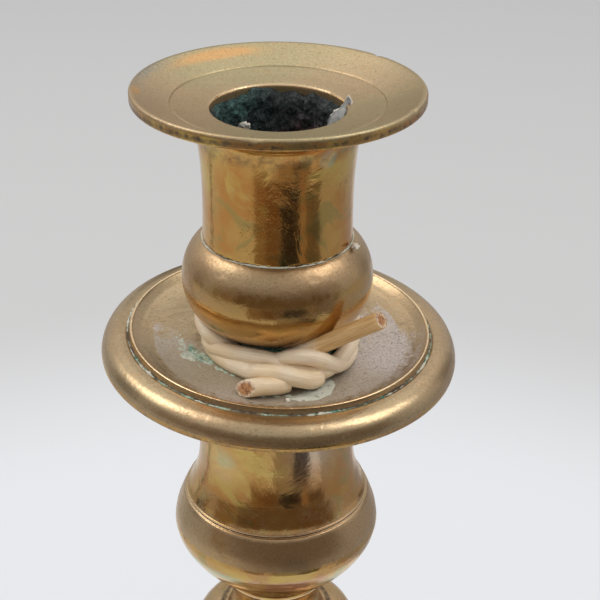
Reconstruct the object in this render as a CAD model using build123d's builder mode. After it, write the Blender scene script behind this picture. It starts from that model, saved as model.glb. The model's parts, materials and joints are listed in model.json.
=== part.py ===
from build123d import *
from math import acos, cos, degrees, pi, radians, sin, tan
import os

# Single-light brass candlestick: turned sections stacked on an iron tie rod, with a nozzle that
# screws down through a loose drip pan. Millimetres, +Z up, origin at the centre of the base's foot.

# ---- driving dimensions -------------------------------------------------------------------------
top_z = 260.0  # upper edge of the nozzle's flange

# candle nozzle
candle_bore_r = 11.5
bore_lip_z = top_z - 3.6
flange_r = 24.9
flange_edge = 0.35  # rounding of the flange's rim
flange_rim = 2.0  # thickness at the rim
dish_ring_r = 18.2  # step turned in the dished flange
dish_ring_z = top_z - 2.4
tube_top_r = 14.2
tube_top_z = top_z - 7.3
tube_waist_r = 13.1
tube_waist_z = top_z - 19.0
seam_r = 13.25
seam_z = top_z - 27.2
spigot_r = 12.6  # plug of the nozzle inside the knop
spigot_len = 5.0

# nozzle knop
knop_r = 17.1
knop_z = top_z - 34.8  # equator
knop_foot_r = 10.0  # centre of both curves, and where the lower one ends
knop_foot_z = top_z - 43.8
neck_r = 10.5
socket_r = spigot_r + 0.05
socket_z = top_z - 34.5
shank_r = 5.0
shank_len = 13.0

# drip pan, cast and turned as one and now bent a little out of level
pan_ridge_r = 27.0
pan_ridge_z = top_z - 45.3
pan_floor_r = 21.9
pan_floor_drop = 2.05  # floor below the ridge
pan_wall = 1.7
pan_rim_r = 32.4
pan_rim_drop = 4.4
pan_lean_x = -0.029  # rise of the pan's plane per unit of x
pan_lean_y = 0.031
pan_shift = 0.5  # the dish sits off the axis of its hub
hub_top_z = top_z - 46.8
hub_top_r = 12.2
hub_foot_z = top_z - 49.8
hub_foot_r = 14.4
hub_hole_r = shank_r + 0.3

# upper stem, under the pan
stem_top_z = hub_foot_z - 0.1
collar_r = 15.6
collar_waist_r = 14.45
knop_lip_z = top_z - 101.4  # foot of the large knop's curve
knop_lip_r = 10.4
upper_stem_foot_z = top_z - 112.0
upper_neck_r = 8.7
scribe_z = top_z - 80.8
scribe_r = 17.5
scribe_size = 0.35

# lower sections
bead_r = 16.8
bead_face_r = 11.2  # flat faces at its ends
bead_h = 12.0
baluster_h = 82.0
ring_r = 15.0
ring_h = 8.0
foot_collar_h = 13.0
base_h = upper_stem_foot_z - bead_h - baluster_h - ring_h - foot_collar_h
base_r = 62.0
base_wall = 2.6

# tie rod and its fastening
rod_r = 4.0
rod_foot_z = 19.0
rod_top_z = top_z - 80.0
thread_gap = 0.05
passing_gap = 0.3
washer_r = 11.0
washer_t = 1.6
nut_flats = 13.0
nut_h = 6.5

# cane tie: one length of round cane wound once round the neck
cane_r = 1.6
cane_ring_r = 13.75
cane_lift = 0.15  # clearance over the pan's floor
running_gap = 0.08


def pan_floor_at(x, y):
    """Height of the leaning floor of the pan."""
    return pan_ridge_z - pan_floor_drop + pan_lean_x * (x - pan_shift) + pan_lean_y * y


def write(piece, name):
    """Label a finished piece and write its STEP file."""
    piece.label = name
    export_step(piece, "parts/" + name + ".step")


os.makedirs("parts", exist_ok=True)

# ---- candle nozzle: dished flange, waisted tube, plug -------------------------------------------
spigot_foot_z = seam_z - spigot_len
with BuildPart() as candle_nozzle:
    with BuildSketch(Plane.XZ):
        with BuildLine():
            Polyline(
                (candle_bore_r, spigot_foot_z),
                (candle_bore_r, bore_lip_z),
                (dish_ring_r, dish_ring_z - 0.25),
                (dish_ring_r + 0.5, dish_ring_z),
                (flange_r - 1.1, top_z - 0.2),
                (flange_r - 0.8, top_z),
                (flange_r - flange_edge, top_z),
            )
            TangentArc(
                (flange_r - flange_edge, top_z), (flange_r, top_z - flange_edge), tangent=(1, 0)
            )
            Polyline(
                (flange_r, top_z - flange_edge),
                (flange_r, top_z - flange_rim + flange_edge),
                (flange_r - flange_edge, top_z - flange_rim),
                (flange_r - 3.0, top_z - flange_rim - 0.3),
            )
            ThreePointArc(
                (flange_r - 3.0, top_z - flange_rim - 0.3),
                (tube_top_r + 2.4, top_z - 4.3),
                (tube_top_r, tube_top_z),
            )
            ThreePointArc(
                (tube_top_r, tube_top_z), (tube_waist_r, tube_waist_z), (seam_r, seam_z)
            )
            Polyline(
                (seam_r, seam_z),
                (spigot_r, seam_z),
                (spigot_r, spigot_foot_z),
                (candle_bore_r, spigot_foot_z),
            )
        make_face()
    revolve(axis=Axis.Z)
write(candle_nozzle.part, "candle_nozzle")

# ---- nozzle knop: bulb with the plug's socket, neck and screwed shank ---------------------------
neck_foot_z = hub_top_z + 0.1
seam_angle = acos((seam_r - knop_foot_r) / (knop_r - knop_foot_r))
shank_foot_z = hub_foot_z - shank_len
with BuildPart() as nozzle_knop:
    with BuildSketch(Plane.XZ):
        with BuildLine():
            EllipticalCenterArc(
                (knop_foot_r, knop_z),
                knop_r - knop_foot_r,
                (seam_z - knop_z) / sin(seam_angle),
                start_angle=0,
                arc_size=degrees(seam_angle),
            )
            EllipticalCenterArc(
                (knop_foot_r, knop_z),
                knop_r - knop_foot_r,
                knop_z - knop_foot_z,
                start_angle=270,
                arc_size=90,
            )
            Polyline(
                (seam_r, seam_z),
                (socket_r, seam_z),
                (socket_r, socket_z),
                (0, socket_z),
                (0, shank_foot_z),
                (shank_r, shank_foot_z),
                (shank_r, knop_foot_z),
                (knop_foot_r, knop_foot_z),
            )
        make_face()
    revolve(axis=Axis.Z)
    with BuildSketch(Plane.XY.offset(neck_foot_z)):
        Circle(neck_r)
    extrude(amount=knop_foot_z - neck_foot_z + 1.0)
write(nozzle_knop.part, "nozzle_knop")

# ---- old wax in the bottom of the socket --------------------------------------------------------
with BuildPart() as wax_residue:
    with BuildSketch(Plane.XY.offset(socket_z)):
        Circle(socket_r - 0.1)
    extrude(amount=spigot_foot_z - socket_z - 0.15)
write(wax_residue.part, "wax_residue")

# ---- drip pan: level hub, leaning dish ----------------------------------------------------------
pan_frame = Plane(
    origin=(pan_shift, 0, pan_ridge_z),
    x_dir=(1, 0, pan_lean_x),
    z_dir=(-pan_lean_x, -pan_lean_y, 1),
)
pan_section = Plane(
    origin=pan_frame.origin, x_dir=pan_frame.x_dir, z_dir=pan_frame.y_dir * -1
)
with BuildPart() as drip_pan:
    with BuildSketch(pan_section):
        with BuildLine():
            Line((hub_top_r - 4, -pan_floor_drop), (pan_floor_r, -pan_floor_drop))
            ThreePointArc(
                (pan_floor_r, -pan_floor_drop), (25.2, -1.45), (pan_ridge_r - 0.2, 0)
            )
            Polyline(
                (pan_ridge_r - 0.2, 0),
                (pan_ridge_r + 0.3, 0),
                (pan_ridge_r + 0.5, -1.0),
                (pan_ridge_r + 1.0, -1.05),
            )
            ThreePointArc(
                (pan_ridge_r + 1.0, -1.05), (31.2, -2.2), (pan_rim_r, -pan_rim_drop)
            )
            ThreePointArc(
                (pan_rim_r, -pan_rim_drop), (31.9, -5.4), (30.6, -5.8)
            )
            Line((30.6, -5.8), (29.6, -5.2))
            ThreePointArc(
                (29.6, -5.2), (27.5, -2.9), (pan_floor_r + 1.4, -pan_floor_drop - pan_wall)
            )
            Polyline(
                (pan_floor_r + 1.4, -pan_floor_drop - pan_wall),
                (hub_top_r - 4, -pan_floor_drop - pan_wall),
                (hub_top_r - 4, -pan_floor_drop),
            )
        make_face()
    revolve(axis=Axis(pan_frame.origin, pan_frame.z_dir))
    with BuildSketch(Plane.XZ):
        with BuildLine():
            Polyline(
                (0, hub_foot_z),
                (hub_foot_r, hub_foot_z),
                (hub_foot_r, hub_foot_z + 1.3),
                (hub_top_r, hub_foot_z + 1.3),
                (hub_top_r, hub_top_z),
                (0, hub_top_z),
                (0, hub_foot_z),
            )
        make_face()
    revolve(axis=Axis.Z)
    with BuildSketch(Plane.XY.offset(hub_top_z + 1)):
        Circle(hub_hole_r)
    extrude(amount=-(hub_top_z - hub_foot_z) - 2, mode=Mode.SUBTRACT)
write(drip_pan.part, "drip_pan")

# ---- cane tie: risen tail, one turn round the neck, stub lying on the pan -----------------------
ring_step = 36
ring_corner_r = cane_ring_r / cos(radians(ring_step / 2))


def cane_on_floor(angle):
    """A corner of the turn round the neck, resting on the pan's floor."""
    x = ring_corner_r * cos(radians(angle))
    y = ring_corner_r * sin(radians(angle))
    return (x, y, pan_floor_at(x, y) + cane_r + cane_lift)


cane_tail = [(17.7, -14.6, top_z - 36.2), (3.4, -17.2, top_z - 42.9)]
cane_turn = [cane_on_floor(a) for a in range(-128, -128 - 8 * ring_step, -ring_step)]
cane_stub = [
    (9.6, -14.0, top_z - 45.6),
    (3.4, -18.8, top_z - 46.1),
    (-4.9, -20.7, top_z - 46.2),
]
cane_route = [Vector(*p) for p in cane_tail + cane_turn + cane_stub]
runs = [b - a for a, b in zip(cane_route, cane_route[1:])]
cane_bends = []
for before, after in zip(runs, runs[1:]):
    turn = radians(before.get_angle(after))
    cane_bends.append(0.45 * min(before.length, after.length) / tan(turn / 2))
with BuildPart() as cane_tie:
    with BuildLine():
        route = FilletPolyline(*cane_route, radius=cane_bends)
    with BuildSketch(Plane(origin=route @ 0, z_dir=route % 0)):
        Circle(cane_r)
    sweep(path=route)
print("cane length", round(route.length, 1), "bends", [round(b, 1) for b in cane_bends])
print("cane volume", round(cane_tie.part.volume), "expected", round(pi * cane_r**2 * route.length))
write(cane_tie.part, "cane_tie")

# ---- upper stem: waisted collar, large knop with a scribed line ---------------------------------
with BuildPart() as upper_stem:
    with BuildSketch(Plane.XZ):
        with BuildLine():
            Polyline(
                (0, upper_stem_foot_z),
                (0, stem_top_z),
                (hub_foot_r - 0.6, stem_top_z),
                (collar_r, stem_top_z - 1.4),
                (collar_r, stem_top_z - 2.6),
            )
            ThreePointArc(
                (collar_r, stem_top_z - 2.6),
                (collar_waist_r, top_z - 61.0),
                (collar_waist_r + 0.4, top_z - 73.0),
            )
            Spline(
                (collar_waist_r + 0.4, top_z - 73.0),
                (16.6, top_z - 79.0),
                (19.45, top_z - 85.0),
                (19.8, top_z - 88.0),
                (17.2, top_z - 94.0),
                (13.1, top_z - 98.5),
                (knop_lip_r, knop_lip_z),
            )
            Polyline(
                (knop_lip_r, knop_lip_z),
                (knop_lip_r, knop_lip_z - 0.7),
                (knop_lip_r - 0.8, knop_lip_z - 1.2),
            )
            ThreePointArc(
                (knop_lip_r - 0.8, knop_lip_z - 1.2),
                (upper_neck_r, knop_lip_z - 5.0),
                (knop_lip_r - 0.3, upper_stem_foot_z),
            )
            Line((knop_lip_r - 0.3, upper_stem_foot_z), (0, upper_stem_foot_z))
        make_face()
    revolve(axis=Axis.Z)
    with BuildSketch(Plane.XZ):
        with Locations((scribe_r, scribe_z)):
            Rectangle(2 * scribe_size, scribe_size)
    revolve(axis=Axis.Z, mode=Mode.SUBTRACT)
    with BuildSketch(Plane.XY.offset(stem_top_z)):
        Circle(shank_r + running_gap)
    extrude(amount=-shank_len - 2.0, mode=Mode.SUBTRACT)
    with BuildSketch(Plane.XY.offset(upper_stem_foot_z)):
        Circle(rod_r + thread_gap)
    extrude(amount=rod_top_z - upper_stem_foot_z + 1.0, mode=Mode.SUBTRACT)
write(upper_stem.part, "upper_stem")

# ---- neck bead ----------------------------------------------------------------------------------
bead_foot_z = upper_stem_foot_z - bead_h
with BuildPart() as neck_bead:
    with BuildSketch(Plane.XZ):
        with BuildLine():
            Polyline(
                (bead_face_r, bead_foot_z),
                (rod_r + passing_gap, bead_foot_z),
                (rod_r + passing_gap, upper_stem_foot_z),
                (bead_face_r, upper_stem_foot_z),
            )
            ThreePointArc(
                (bead_face_r, upper_stem_foot_z),
                (bead_r, upper_stem_foot_z - bead_h / 2),
                (bead_face_r, bead_foot_z),
            )
        make_face()
    revolve(axis=Axis.Z)
write(neck_bead.part, "neck_bead")

# ---- baluster -----------------------------------------------------------------------------------
baluster_foot_z = bead_foot_z - baluster_h
baluster_core_r = rod_r + 1.5
with BuildPart() as baluster:
    with BuildSketch(Plane.XZ):
        with BuildLine():
            Polyline(
                (11.6, baluster_foot_z),
                (baluster_core_r, baluster_foot_z),
                (baluster_core_r, bead_foot_z),
                (10.2, bead_foot_z),
                (10.2, bead_foot_z - 1.6),
            )
            Spline(
                (10.2, bead_foot_z - 1.6),
                (8.2, bead_foot_z - 7.0),
                (11.2, bead_foot_z - 18.0),
                (16.4, bead_foot_z - 32.0),
                (14.0, bead_foot_z - 46.0),
                (9.6, bead_foot_z - 62.0),
                (8.9, bead_foot_z - 73.0),
                (11.6, baluster_foot_z + 2.0),
            )
            Line((11.6, baluster_foot_z + 2.0), (11.6, baluster_foot_z))
        make_face()
    revolve(axis=Axis.Z)
write(baluster.part, "baluster")

# ---- lower ring ---------------------------------------------------------------------------------
ring_foot_z = baluster_foot_z - ring_h
with BuildPart() as lower_ring:
    with BuildSketch(Plane.XZ):
        with BuildLine():
            Polyline(
                (12.0, ring_foot_z),
                (rod_r + passing_gap, ring_foot_z),
                (rod_r + passing_gap, baluster_foot_z),
                (12.0, baluster_foot_z),
            )
            ThreePointArc(
                (12.0, baluster_foot_z), (ring_r, ring_foot_z + ring_h / 2), (12.0, ring_foot_z)
            )
        make_face()
    revolve(axis=Axis.Z)
write(lower_ring.part, "lower_ring")

# ---- foot collar: trumpet that spreads onto the base --------------------------------------------
collar_foot_z = ring_foot_z - foot_collar_h
collar_foot_r = 21.0
with BuildPart() as foot_collar:
    with BuildSketch(Plane.XZ):
        with BuildLine():
            Polyline(
                (collar_foot_r, collar_foot_z),
                (baluster_core_r, collar_foot_z),
                (baluster_core_r, ring_foot_z),
                (10.8, ring_foot_z),
                (10.8, ring_foot_z - 1.0),
            )
            ThreePointArc(
                (10.8, ring_foot_z - 1.0),
                (13.0, ring_foot_z - 8.8),
                (collar_foot_r, collar_foot_z + 1.4),
            )
            Line((collar_foot_r, collar_foot_z + 1.4), (collar_foot_r, collar_foot_z))
        make_face()
    revolve(axis=Axis.Z)
write(foot_collar.part, "foot_collar")

# ---- base: hollow dome on a moulded rim ---------------------------------------------------------
hub_thick = 4.5
with BuildPart() as base_dome:
    with BuildSketch(Plane.XZ):
        with BuildLine():
            Polyline(
                (rod_r + passing_gap, base_h),
                (23.0, base_h),
                (23.0, base_h - 1.2),
            )
            Spline(
                (23.0, base_h - 1.2),
                (30.0, base_h - 5.0),
                (41.0, 17.8),
                (50.0, 10.9),
                (54.0, 9.0),
                tangents=((0.5, -1), (1, -0.15)),
            )
            Polyline((54.0, 9.0), (56.6, 9.0), (56.6, 8.0))
            ThreePointArc((56.6, 8.0), (60.6, 5.9), (base_r, 2.0))
            Polyline(
                (base_r, 2.0),
                (base_r, 0),
                (base_r - 5.0, 0),
                (base_r - 5.0, 3.4),
                (54.5, 9.0 - base_wall),
            )
            Spline(
                (54.5, 9.0 - base_wall),
                (49.0, 10.9 - base_wall),
                (39.2, 17.8 - base_wall),
                (27.5, base_h - 5.0 - base_wall),
                (21.0, base_h - hub_thick),
            )
            Polyline(
                (21.0, base_h - hub_thick),
                (rod_r + passing_gap, base_h - hub_thick),
                (rod_r + passing_gap, base_h),
            )
        make_face()
    revolve(axis=Axis.Z)
write(base_dome.part, "base_dome")

# ---- tie rod, washer and nut --------------------------------------------------------------------
with BuildPart() as tie_rod:
    with BuildSketch(Plane.XY.offset(rod_foot_z)):
        Circle(rod_r)
    extrude(amount=rod_top_z - rod_foot_z)
    chamfer(tie_rod.edges().filter_by(GeomType.CIRCLE), length=0.6)
write(tie_rod.part, "tie_rod")

washer_top_z = base_h - hub_thick
with BuildPart() as base_washer:
    with BuildSketch(Plane.XY.offset(washer_top_z)):
        Circle(washer_r)
        Circle(rod_r + passing_gap, mode=Mode.SUBTRACT)
    extrude(amount=-washer_t)
write(base_washer.part, "base_washer")

with BuildPart() as base_nut:
    with BuildSketch(Plane.XY.offset(washer_top_z - washer_t)):
        RegularPolygon(nut_flats / 2, 6, major_radius=False)
        Circle(rod_r + thread_gap, mode=Mode.SUBTRACT)
    extrude(amount=-nut_h)
write(base_nut.part, "base_nut")
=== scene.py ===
"""Old brass candlestick: turned sections, a loose drip pan, a cane packing ring and years of dirt.

Sizes are millimetres until a mesh is made. Outlines of turned pieces are half sections of (radius, height)
points, with heights counted from the upper edge of the candle socket's flange unless a piece says otherwise.
"""

import json
import math

import bmesh
import bpy
from bpy.props import FloatProperty, FloatVectorProperty, IntProperty, PointerProperty
from mathutils import Matrix, Vector, noise

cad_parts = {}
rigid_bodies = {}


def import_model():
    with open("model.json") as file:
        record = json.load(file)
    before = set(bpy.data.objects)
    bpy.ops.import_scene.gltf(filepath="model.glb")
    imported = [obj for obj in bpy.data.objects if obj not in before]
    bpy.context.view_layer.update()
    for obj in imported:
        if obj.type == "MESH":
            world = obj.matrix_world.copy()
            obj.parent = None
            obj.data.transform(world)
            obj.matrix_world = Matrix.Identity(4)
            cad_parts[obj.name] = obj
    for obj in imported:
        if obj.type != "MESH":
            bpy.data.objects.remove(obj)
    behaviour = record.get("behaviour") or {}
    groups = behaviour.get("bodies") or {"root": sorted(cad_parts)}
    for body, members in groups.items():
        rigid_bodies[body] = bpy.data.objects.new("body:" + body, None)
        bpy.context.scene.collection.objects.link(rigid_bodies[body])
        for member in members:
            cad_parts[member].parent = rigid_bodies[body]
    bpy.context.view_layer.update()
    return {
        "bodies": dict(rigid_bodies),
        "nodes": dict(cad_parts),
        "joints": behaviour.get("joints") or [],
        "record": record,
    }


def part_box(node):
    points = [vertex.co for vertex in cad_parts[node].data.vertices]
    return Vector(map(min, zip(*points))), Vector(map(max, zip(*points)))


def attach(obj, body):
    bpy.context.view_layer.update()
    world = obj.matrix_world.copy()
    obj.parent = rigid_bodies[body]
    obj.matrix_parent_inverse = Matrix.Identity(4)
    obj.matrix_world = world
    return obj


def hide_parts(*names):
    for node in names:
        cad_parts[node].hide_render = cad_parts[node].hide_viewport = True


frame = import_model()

bl_info = {
    "name": "Old brass candlestick",
    "version": (1, 0, 0),
    "blender": (4, 5, 0),
    "location": "View3D > Sidebar > Candlestick",
    "description": "Builds an aged, turned brass candlestick with a cane packing ring",
    "category": "Add Mesh",
}

MM = 0.001
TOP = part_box("candle_nozzle")[1].z / MM
KNOP_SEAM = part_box("nozzle_knop")[1].z / MM - TOP
SHANK_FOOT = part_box("nozzle_knop")[0].z / MM - TOP
STEM_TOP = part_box("upper_stem")[1].z / MM - TOP
STEM_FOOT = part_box("upper_stem")[0].z / MM - TOP
BEAD_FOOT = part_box("neck_bead")[0].z / MM - TOP
BALUSTER_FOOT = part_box("baluster")[0].z / MM - TOP
RING_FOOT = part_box("lower_ring")[0].z / MM - TOP
COLLAR_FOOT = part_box("foot_collar")[0].z / MM - TOP
BASE_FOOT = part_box("base_dome")[0].z / MM - TOP
BASE_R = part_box("base_dome")[1].x / MM
AT_TOP = Matrix.Translation((0, 0, TOP))

# The pan was bent: its dish leans and sits off the axis of its hub.
PAN_SHIFT = 0.5
PAN_RIDGE = -45.3
PAN_LEAN = (-0.029, 0.031)
PAN_FLOOR_DROP = 2.05


def pan_matrix():
    """Frame of the leaning dish, its origin in the plane of the ridge."""
    up = Vector((-PAN_LEAN[0], -PAN_LEAN[1], 1)).normalized()
    along = Vector((1, 0, PAN_LEAN[0])).normalized()
    turn = Matrix((along, up.cross(along), up)).transposed().to_4x4()
    return Matrix.Translation((PAN_SHIFT, 0, TOP + PAN_RIDGE)) @ turn


# ---- settings ----------------------------------------------------------------------------------


def tone(name, description, rgb):
    """A colour property."""
    return FloatVectorProperty(
        name=name, description=description, subtype="COLOR", size=3, min=0, max=1, default=rgb
    )


class CandlestickTurning(bpy.types.PropertyGroup):
    """How finely and how truly the sections are turned."""

    segments: IntProperty(
        name="Segments", description="Faces round each turned section", default=208, min=24, max=400
    )
    spacing: FloatProperty(
        name="Spacing", description="Longest step along an outline, in millimetres", default=0.55, min=0.1
    )
    wobble: FloatProperty(
        name="Wobble",
        description="How far hand finishing leaves a surface from true",
        default=0.00005,
        min=0,
        unit="LENGTH",
    )
    crust: FloatProperty(
        name="Crust",
        description="Greatest thickness of dirt in the corners",
        default=0.00045,
        min=0,
        unit="LENGTH",
    )


class CandlestickFinish(bpy.types.PropertyGroup):
    """Colours of the metal, the growth on it and the cane."""

    polished: tone("Polished brass", "Brass where it still shines", (0.62, 0.36, 0.11))
    heated: tone("Heated brass", "Warm orange stain in the shine", (0.55, 0.24, 0.06))
    film: tone("Dull film", "Satin oxide film on upward faces", (0.50, 0.375, 0.225))
    olive: tone("Olive film", "Greener patches of the film", (0.43, 0.37, 0.21))
    brown: tone("Brown film", "Warmer, browner patches of the film", (0.50, 0.315, 0.165))
    bloom: tone("Grey bloom", "Frosted bloom on the floor of the pan", (0.62, 0.545, 0.50))
    # Also the colour of painted highlights on the flange's top edge and along the scribed line of the stem.
    bare: tone("Bare edge", "Edges rubbed bright", (0.90, 0.66, 0.40))
    # Also the colour of painted shade under edges and in grooves, and of a painted dark reflection on the
    # flange's outer edge.
    dirt: tone("Dirt", "Dark dirt in lines and pits", (0.055, 0.032, 0.016))
    verdigris: tone("Verdigris", "Pale mint growth", (0.38, 0.49, 0.36))
    deep_verdigris: tone("Deep verdigris", "Teal growth where it is thick", (0.06, 0.19, 0.125))
    cane: tone("Cane", "Cream skin of the cane", (0.80, 0.65, 0.46))
    cane_tan: tone("Weathered cane", "Tan skin of the end that sticks out", (0.56, 0.32, 0.12))
    iron: tone("Iron", "Dull iron of the rod, washer and nut", (0.16, 0.14, 0.13))
    rust: tone("Rust", "Rust on the iron", (0.19, 0.065, 0.022))


class CandlestickStage(bpy.types.PropertyGroup):
    """Floor, lights and camera."""

    floor_tone: FloatProperty(
        name="Floor tone", description="Reflectance of the floor", default=0.57, min=0, max=1
    )
    sky: FloatProperty(name="Surroundings", description="Brightness of the surroundings", default=0.64)
    lens: FloatProperty(name="Lens", description="Focal length", default=78.0, subtype="DISTANCE_CAMERA")
    pitch: FloatProperty(
        name="Pitch",
        description="How far the camera looks down",
        default=math.radians(28.27),
        subtype="ANGLE",
    )
    roll: FloatProperty(
        name="Roll", description="Turn about the line of sight", default=math.radians(0.84), subtype="ANGLE"
    )


# ---- node helpers ------------------------------------------------------------------------------


def put(tree, kind, inputs=None, **properties):
    """Add a node, set its properties, and set or link its inputs by name or number."""
    node = tree.nodes.new(kind)
    for key, value in properties.items():
        setattr(node, key, value)
    for key, value in (inputs or {}).items():
        if isinstance(value, bpy.types.NodeSocket):
            tree.links.new(value, node.inputs[key])
        else:
            node.inputs[key].default_value = value
    return node


def maths(tree, operation, *values):
    """A Math node's result."""
    inputs = dict(enumerate(values))
    return put(tree, "ShaderNodeMath", inputs, operation=operation).outputs[0]


def times(tree, first, second):
    """The product of two values."""
    return maths(tree, "MULTIPLY", first, second)


def plus(tree, first, second):
    """The sum of two values."""
    return maths(tree, "ADD", first, second)


def less(tree, first, second):
    """The first value less the second."""
    return maths(tree, "SUBTRACT", first, second)


def fit(tree, value, scale, offset):
    """A value scaled, then offset."""
    return maths(tree, "MULTIPLY_ADD", value, scale, offset)


def ramp(tree, value, low, high):
    """0 below low, 1 above high, smooth between."""
    inputs = {"Value": value, "From Min": low, "From Max": high}
    node = put(tree, "ShaderNodeMapRange", inputs, interpolation_type="SMOOTHSTEP")
    return node.outputs["Result"]


def mixed(tree, amount, first, second):
    """A blend of two colours."""
    node = put(tree, "ShaderNodeMix", data_type="RGBA")
    for socket, value in ((node.inputs[0], amount), (node.inputs[6], first), (node.inputs[7], second)):
        if isinstance(value, bpy.types.NodeSocket):
            tree.links.new(value, socket)
        else:
            socket.default_value = value if isinstance(value, float) else (*value, 1)
    return node.outputs[2]


def blended(tree, amount, first, second):
    """A blend of two numbers."""
    node = put(tree, "ShaderNodeMix", {0: amount, 2: first, 3: second}, data_type="FLOAT")
    return node.outputs[0]


def cloud(tree, place, scale, detail=3.0, roughness=0.55, **extra):
    """Noise between about 0.25 and 0.75; scale counts features per metre."""
    inputs = {"Vector": place, "Scale": scale, "Detail": detail, "Roughness": roughness}
    return put(tree, "ShaderNodeTexNoise", {**inputs, **extra}).outputs[0]


def attribute(tree, name):
    """A value stored on the mesh."""
    return put(tree, "ShaderNodeAttribute", attribute_name=name).outputs["Fac"]


def effect(name, inputs, outputs):
    """An empty shader group with its named sockets, and its input and output nodes."""
    tree = bpy.data.node_groups.new(name, "ShaderNodeTree")
    kinds = {"value": "NodeSocketFloat", "colour": "NodeSocketColor", "place": "NodeSocketVector"}
    for label, kind, default in inputs:
        socket = tree.interface.new_socket(label, in_out="INPUT", socket_type=kinds[kind])
        if default is not None:
            socket.default_value = default
    for label, kind in outputs:
        tree.interface.new_socket(label, in_out="OUTPUT", socket_type=kinds[kind])
    return tree, put(tree, "NodeGroupInput"), put(tree, "NodeGroupOutput")


def use(tree, group, inputs):
    """Place a shader group in a material."""
    node = tree.nodes.new("ShaderNodeGroup")
    node.node_tree = bpy.data.node_groups[group]
    for key, value in inputs.items():
        if isinstance(value, bpy.types.NodeSocket):
            tree.links.new(value, node.inputs[key])
        else:
            node.inputs[key].default_value = (*value, 1) if isinstance(value, tuple) else value
    return node


# ---- shader groups -----------------------------------------------------------------------------


def turning_marks():
    """Fine rings left by the lathe tool and by rubbing, as a height."""
    tree, given, result = effect(
        "turning_marks",
        [("Place", "place", None), ("Rings", "value", 2600.0), ("Length", "value", 2.2)],
        [("Height", "value")],
    )
    split = put(tree, "ShaderNodeSeparateXYZ", {0: given.outputs["Place"]})
    x, y, z = split.outputs
    radius = maths(tree, "SQRT", plus(tree, times(tree, x, x), times(tree, y, y)))
    safe = maths(tree, "MAXIMUM", radius, 0.0005)
    section = put(
        tree,
        "ShaderNodeCombineXYZ",
        {
            0: times(tree, radius, given.outputs["Rings"]),
            1: times(tree, z, given.outputs["Rings"]),
            2: times(tree, maths(tree, "DIVIDE", x, safe), given.outputs["Length"]),
        },
    )
    turn = times(tree, maths(tree, "DIVIDE", y, safe), given.outputs["Length"])
    rings = put(
        tree,
        "ShaderNodeTexNoise",
        {"Vector": section.outputs[0], "W": turn, "Scale": 1.0, "Detail": 3.0, "Roughness": 0.65},
        noise_dimensions="4D",
    )
    tree.links.new(rings.outputs[0], result.inputs["Height"])


def small_pits():
    """Scattered pin pricks of corrosion, gathered in patches, as a mask."""
    tree, given, result = effect(
        "small_pits",
        [("Place", "place", None), ("Count", "value", 1500.0), ("Cover", "value", 0.5)],
        [("Mask", "value")],
    )
    place = given.outputs["Place"]
    cells = put(tree, "ShaderNodeTexVoronoi", {"Vector": place, "Scale": given.outputs["Count"]})
    patch = ramp(tree, cloud(tree, place, 170.0, 2.0), 0.38, 0.64)
    size = fit(tree, cloud(tree, place, 1300.0, 1.0), 0.9, 0.1)
    reach = times(tree, times(tree, patch, given.outputs["Cover"]), size)
    dot = ramp(tree, less(tree, reach, cells.outputs["Distance"]), 0.0, 0.2)
    tree.links.new(dot, result.inputs["Mask"])


def heat_tints():
    """Peach, straw, mint and lilac tints that drift into each other, as a colour."""
    tree, given, result = effect("heat_tints", [("Place", "place", None)], [("Colour", "colour")])
    drift = cloud(tree, given.outputs["Place"], 90.0, 2.0)
    colour = mixed(tree, ramp(tree, drift, 0.38, 0.48), (0.66, 0.40, 0.28), (0.72, 0.50, 0.22))
    colour = mixed(tree, ramp(tree, drift, 0.49, 0.55), colour, (0.52, 0.52, 0.30))
    colour = mixed(tree, ramp(tree, drift, 0.57, 0.64), colour, (0.58, 0.46, 0.46))
    tree.links.new(colour, result.inputs["Colour"])


def copper_growth():
    """Verdigris that starts in the crevices and breaks up as it spreads."""
    tree, given, result = effect(
        "copper_growth",
        [
            ("Place", "place", None),
            ("Crevice", "value", 0.0),
            ("Pale", "colour", (0.4, 0.6, 0.45, 1)),
            ("Deep", "colour", (0.05, 0.2, 0.15, 1)),
        ],
        [("Mask", "value"), ("Colour", "colour"), ("Height", "value")],
    )
    place = given.outputs["Place"]
    lumps = cloud(tree, place, 620.0, 4.0, 0.65)
    broad = cloud(tree, place, 90.0, 2.0)
    grown = plus(tree, lumps, times(tree, broad, 0.55))
    edge = less(tree, 1.12, given.outputs["Crevice"])
    mask = ramp(tree, less(tree, grown, edge), -0.06, 0.16)
    mask = times(tree, mask, ramp(tree, given.outputs["Crevice"], 0.02, 0.2))
    chalk = ramp(tree, cloud(tree, place, 1700.0, 2.0), 0.52, 0.66)
    depth = ramp(tree, cloud(tree, place, 260.0, 3.0), 0.42, 0.6)
    colour = mixed(tree, depth, given.outputs["Pale"], given.outputs["Deep"])
    colour = mixed(tree, times(tree, chalk, 0.7), colour, (0.66, 0.70, 0.60))
    tree.links.new(mask, result.inputs["Mask"])
    tree.links.new(colour, result.inputs["Colour"])
    tree.links.new(times(tree, lumps, mask), result.inputs["Height"])


# ---- materials ---------------------------------------------------------------------------------

# Features of the brass finish, counted per metre.
SPECKS, GRAINS, PATCHES, DRIFTS = 2600.0, 900.0, 75.0, 24.0
PITS, LATHE_RINGS = 3100.0, 2400.0


def new_material(name):
    """An empty material with its shader, tree and object coordinates."""
    material = bpy.data.materials.new(name)
    material.use_nodes = True
    tree = material.node_tree
    shader = tree.nodes["Principled BSDF"]
    place = put(tree, "ShaderNodeTexCoord").outputs["Object"]
    return material, tree, shader, place


def bump(tree, shader, height, distance, strength=1.0, under=None):
    """Feed a height to the shader's normal; under is a bump below this one."""
    inputs = {"Height": height, "Distance": distance, "Strength": strength}
    if under is not None:
        inputs["Normal"] = under
    node = put(tree, "ShaderNodeBump", inputs)
    tree.links.new(node.outputs[0], shader.inputs["Normal"])
    return node.outputs[0]


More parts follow.
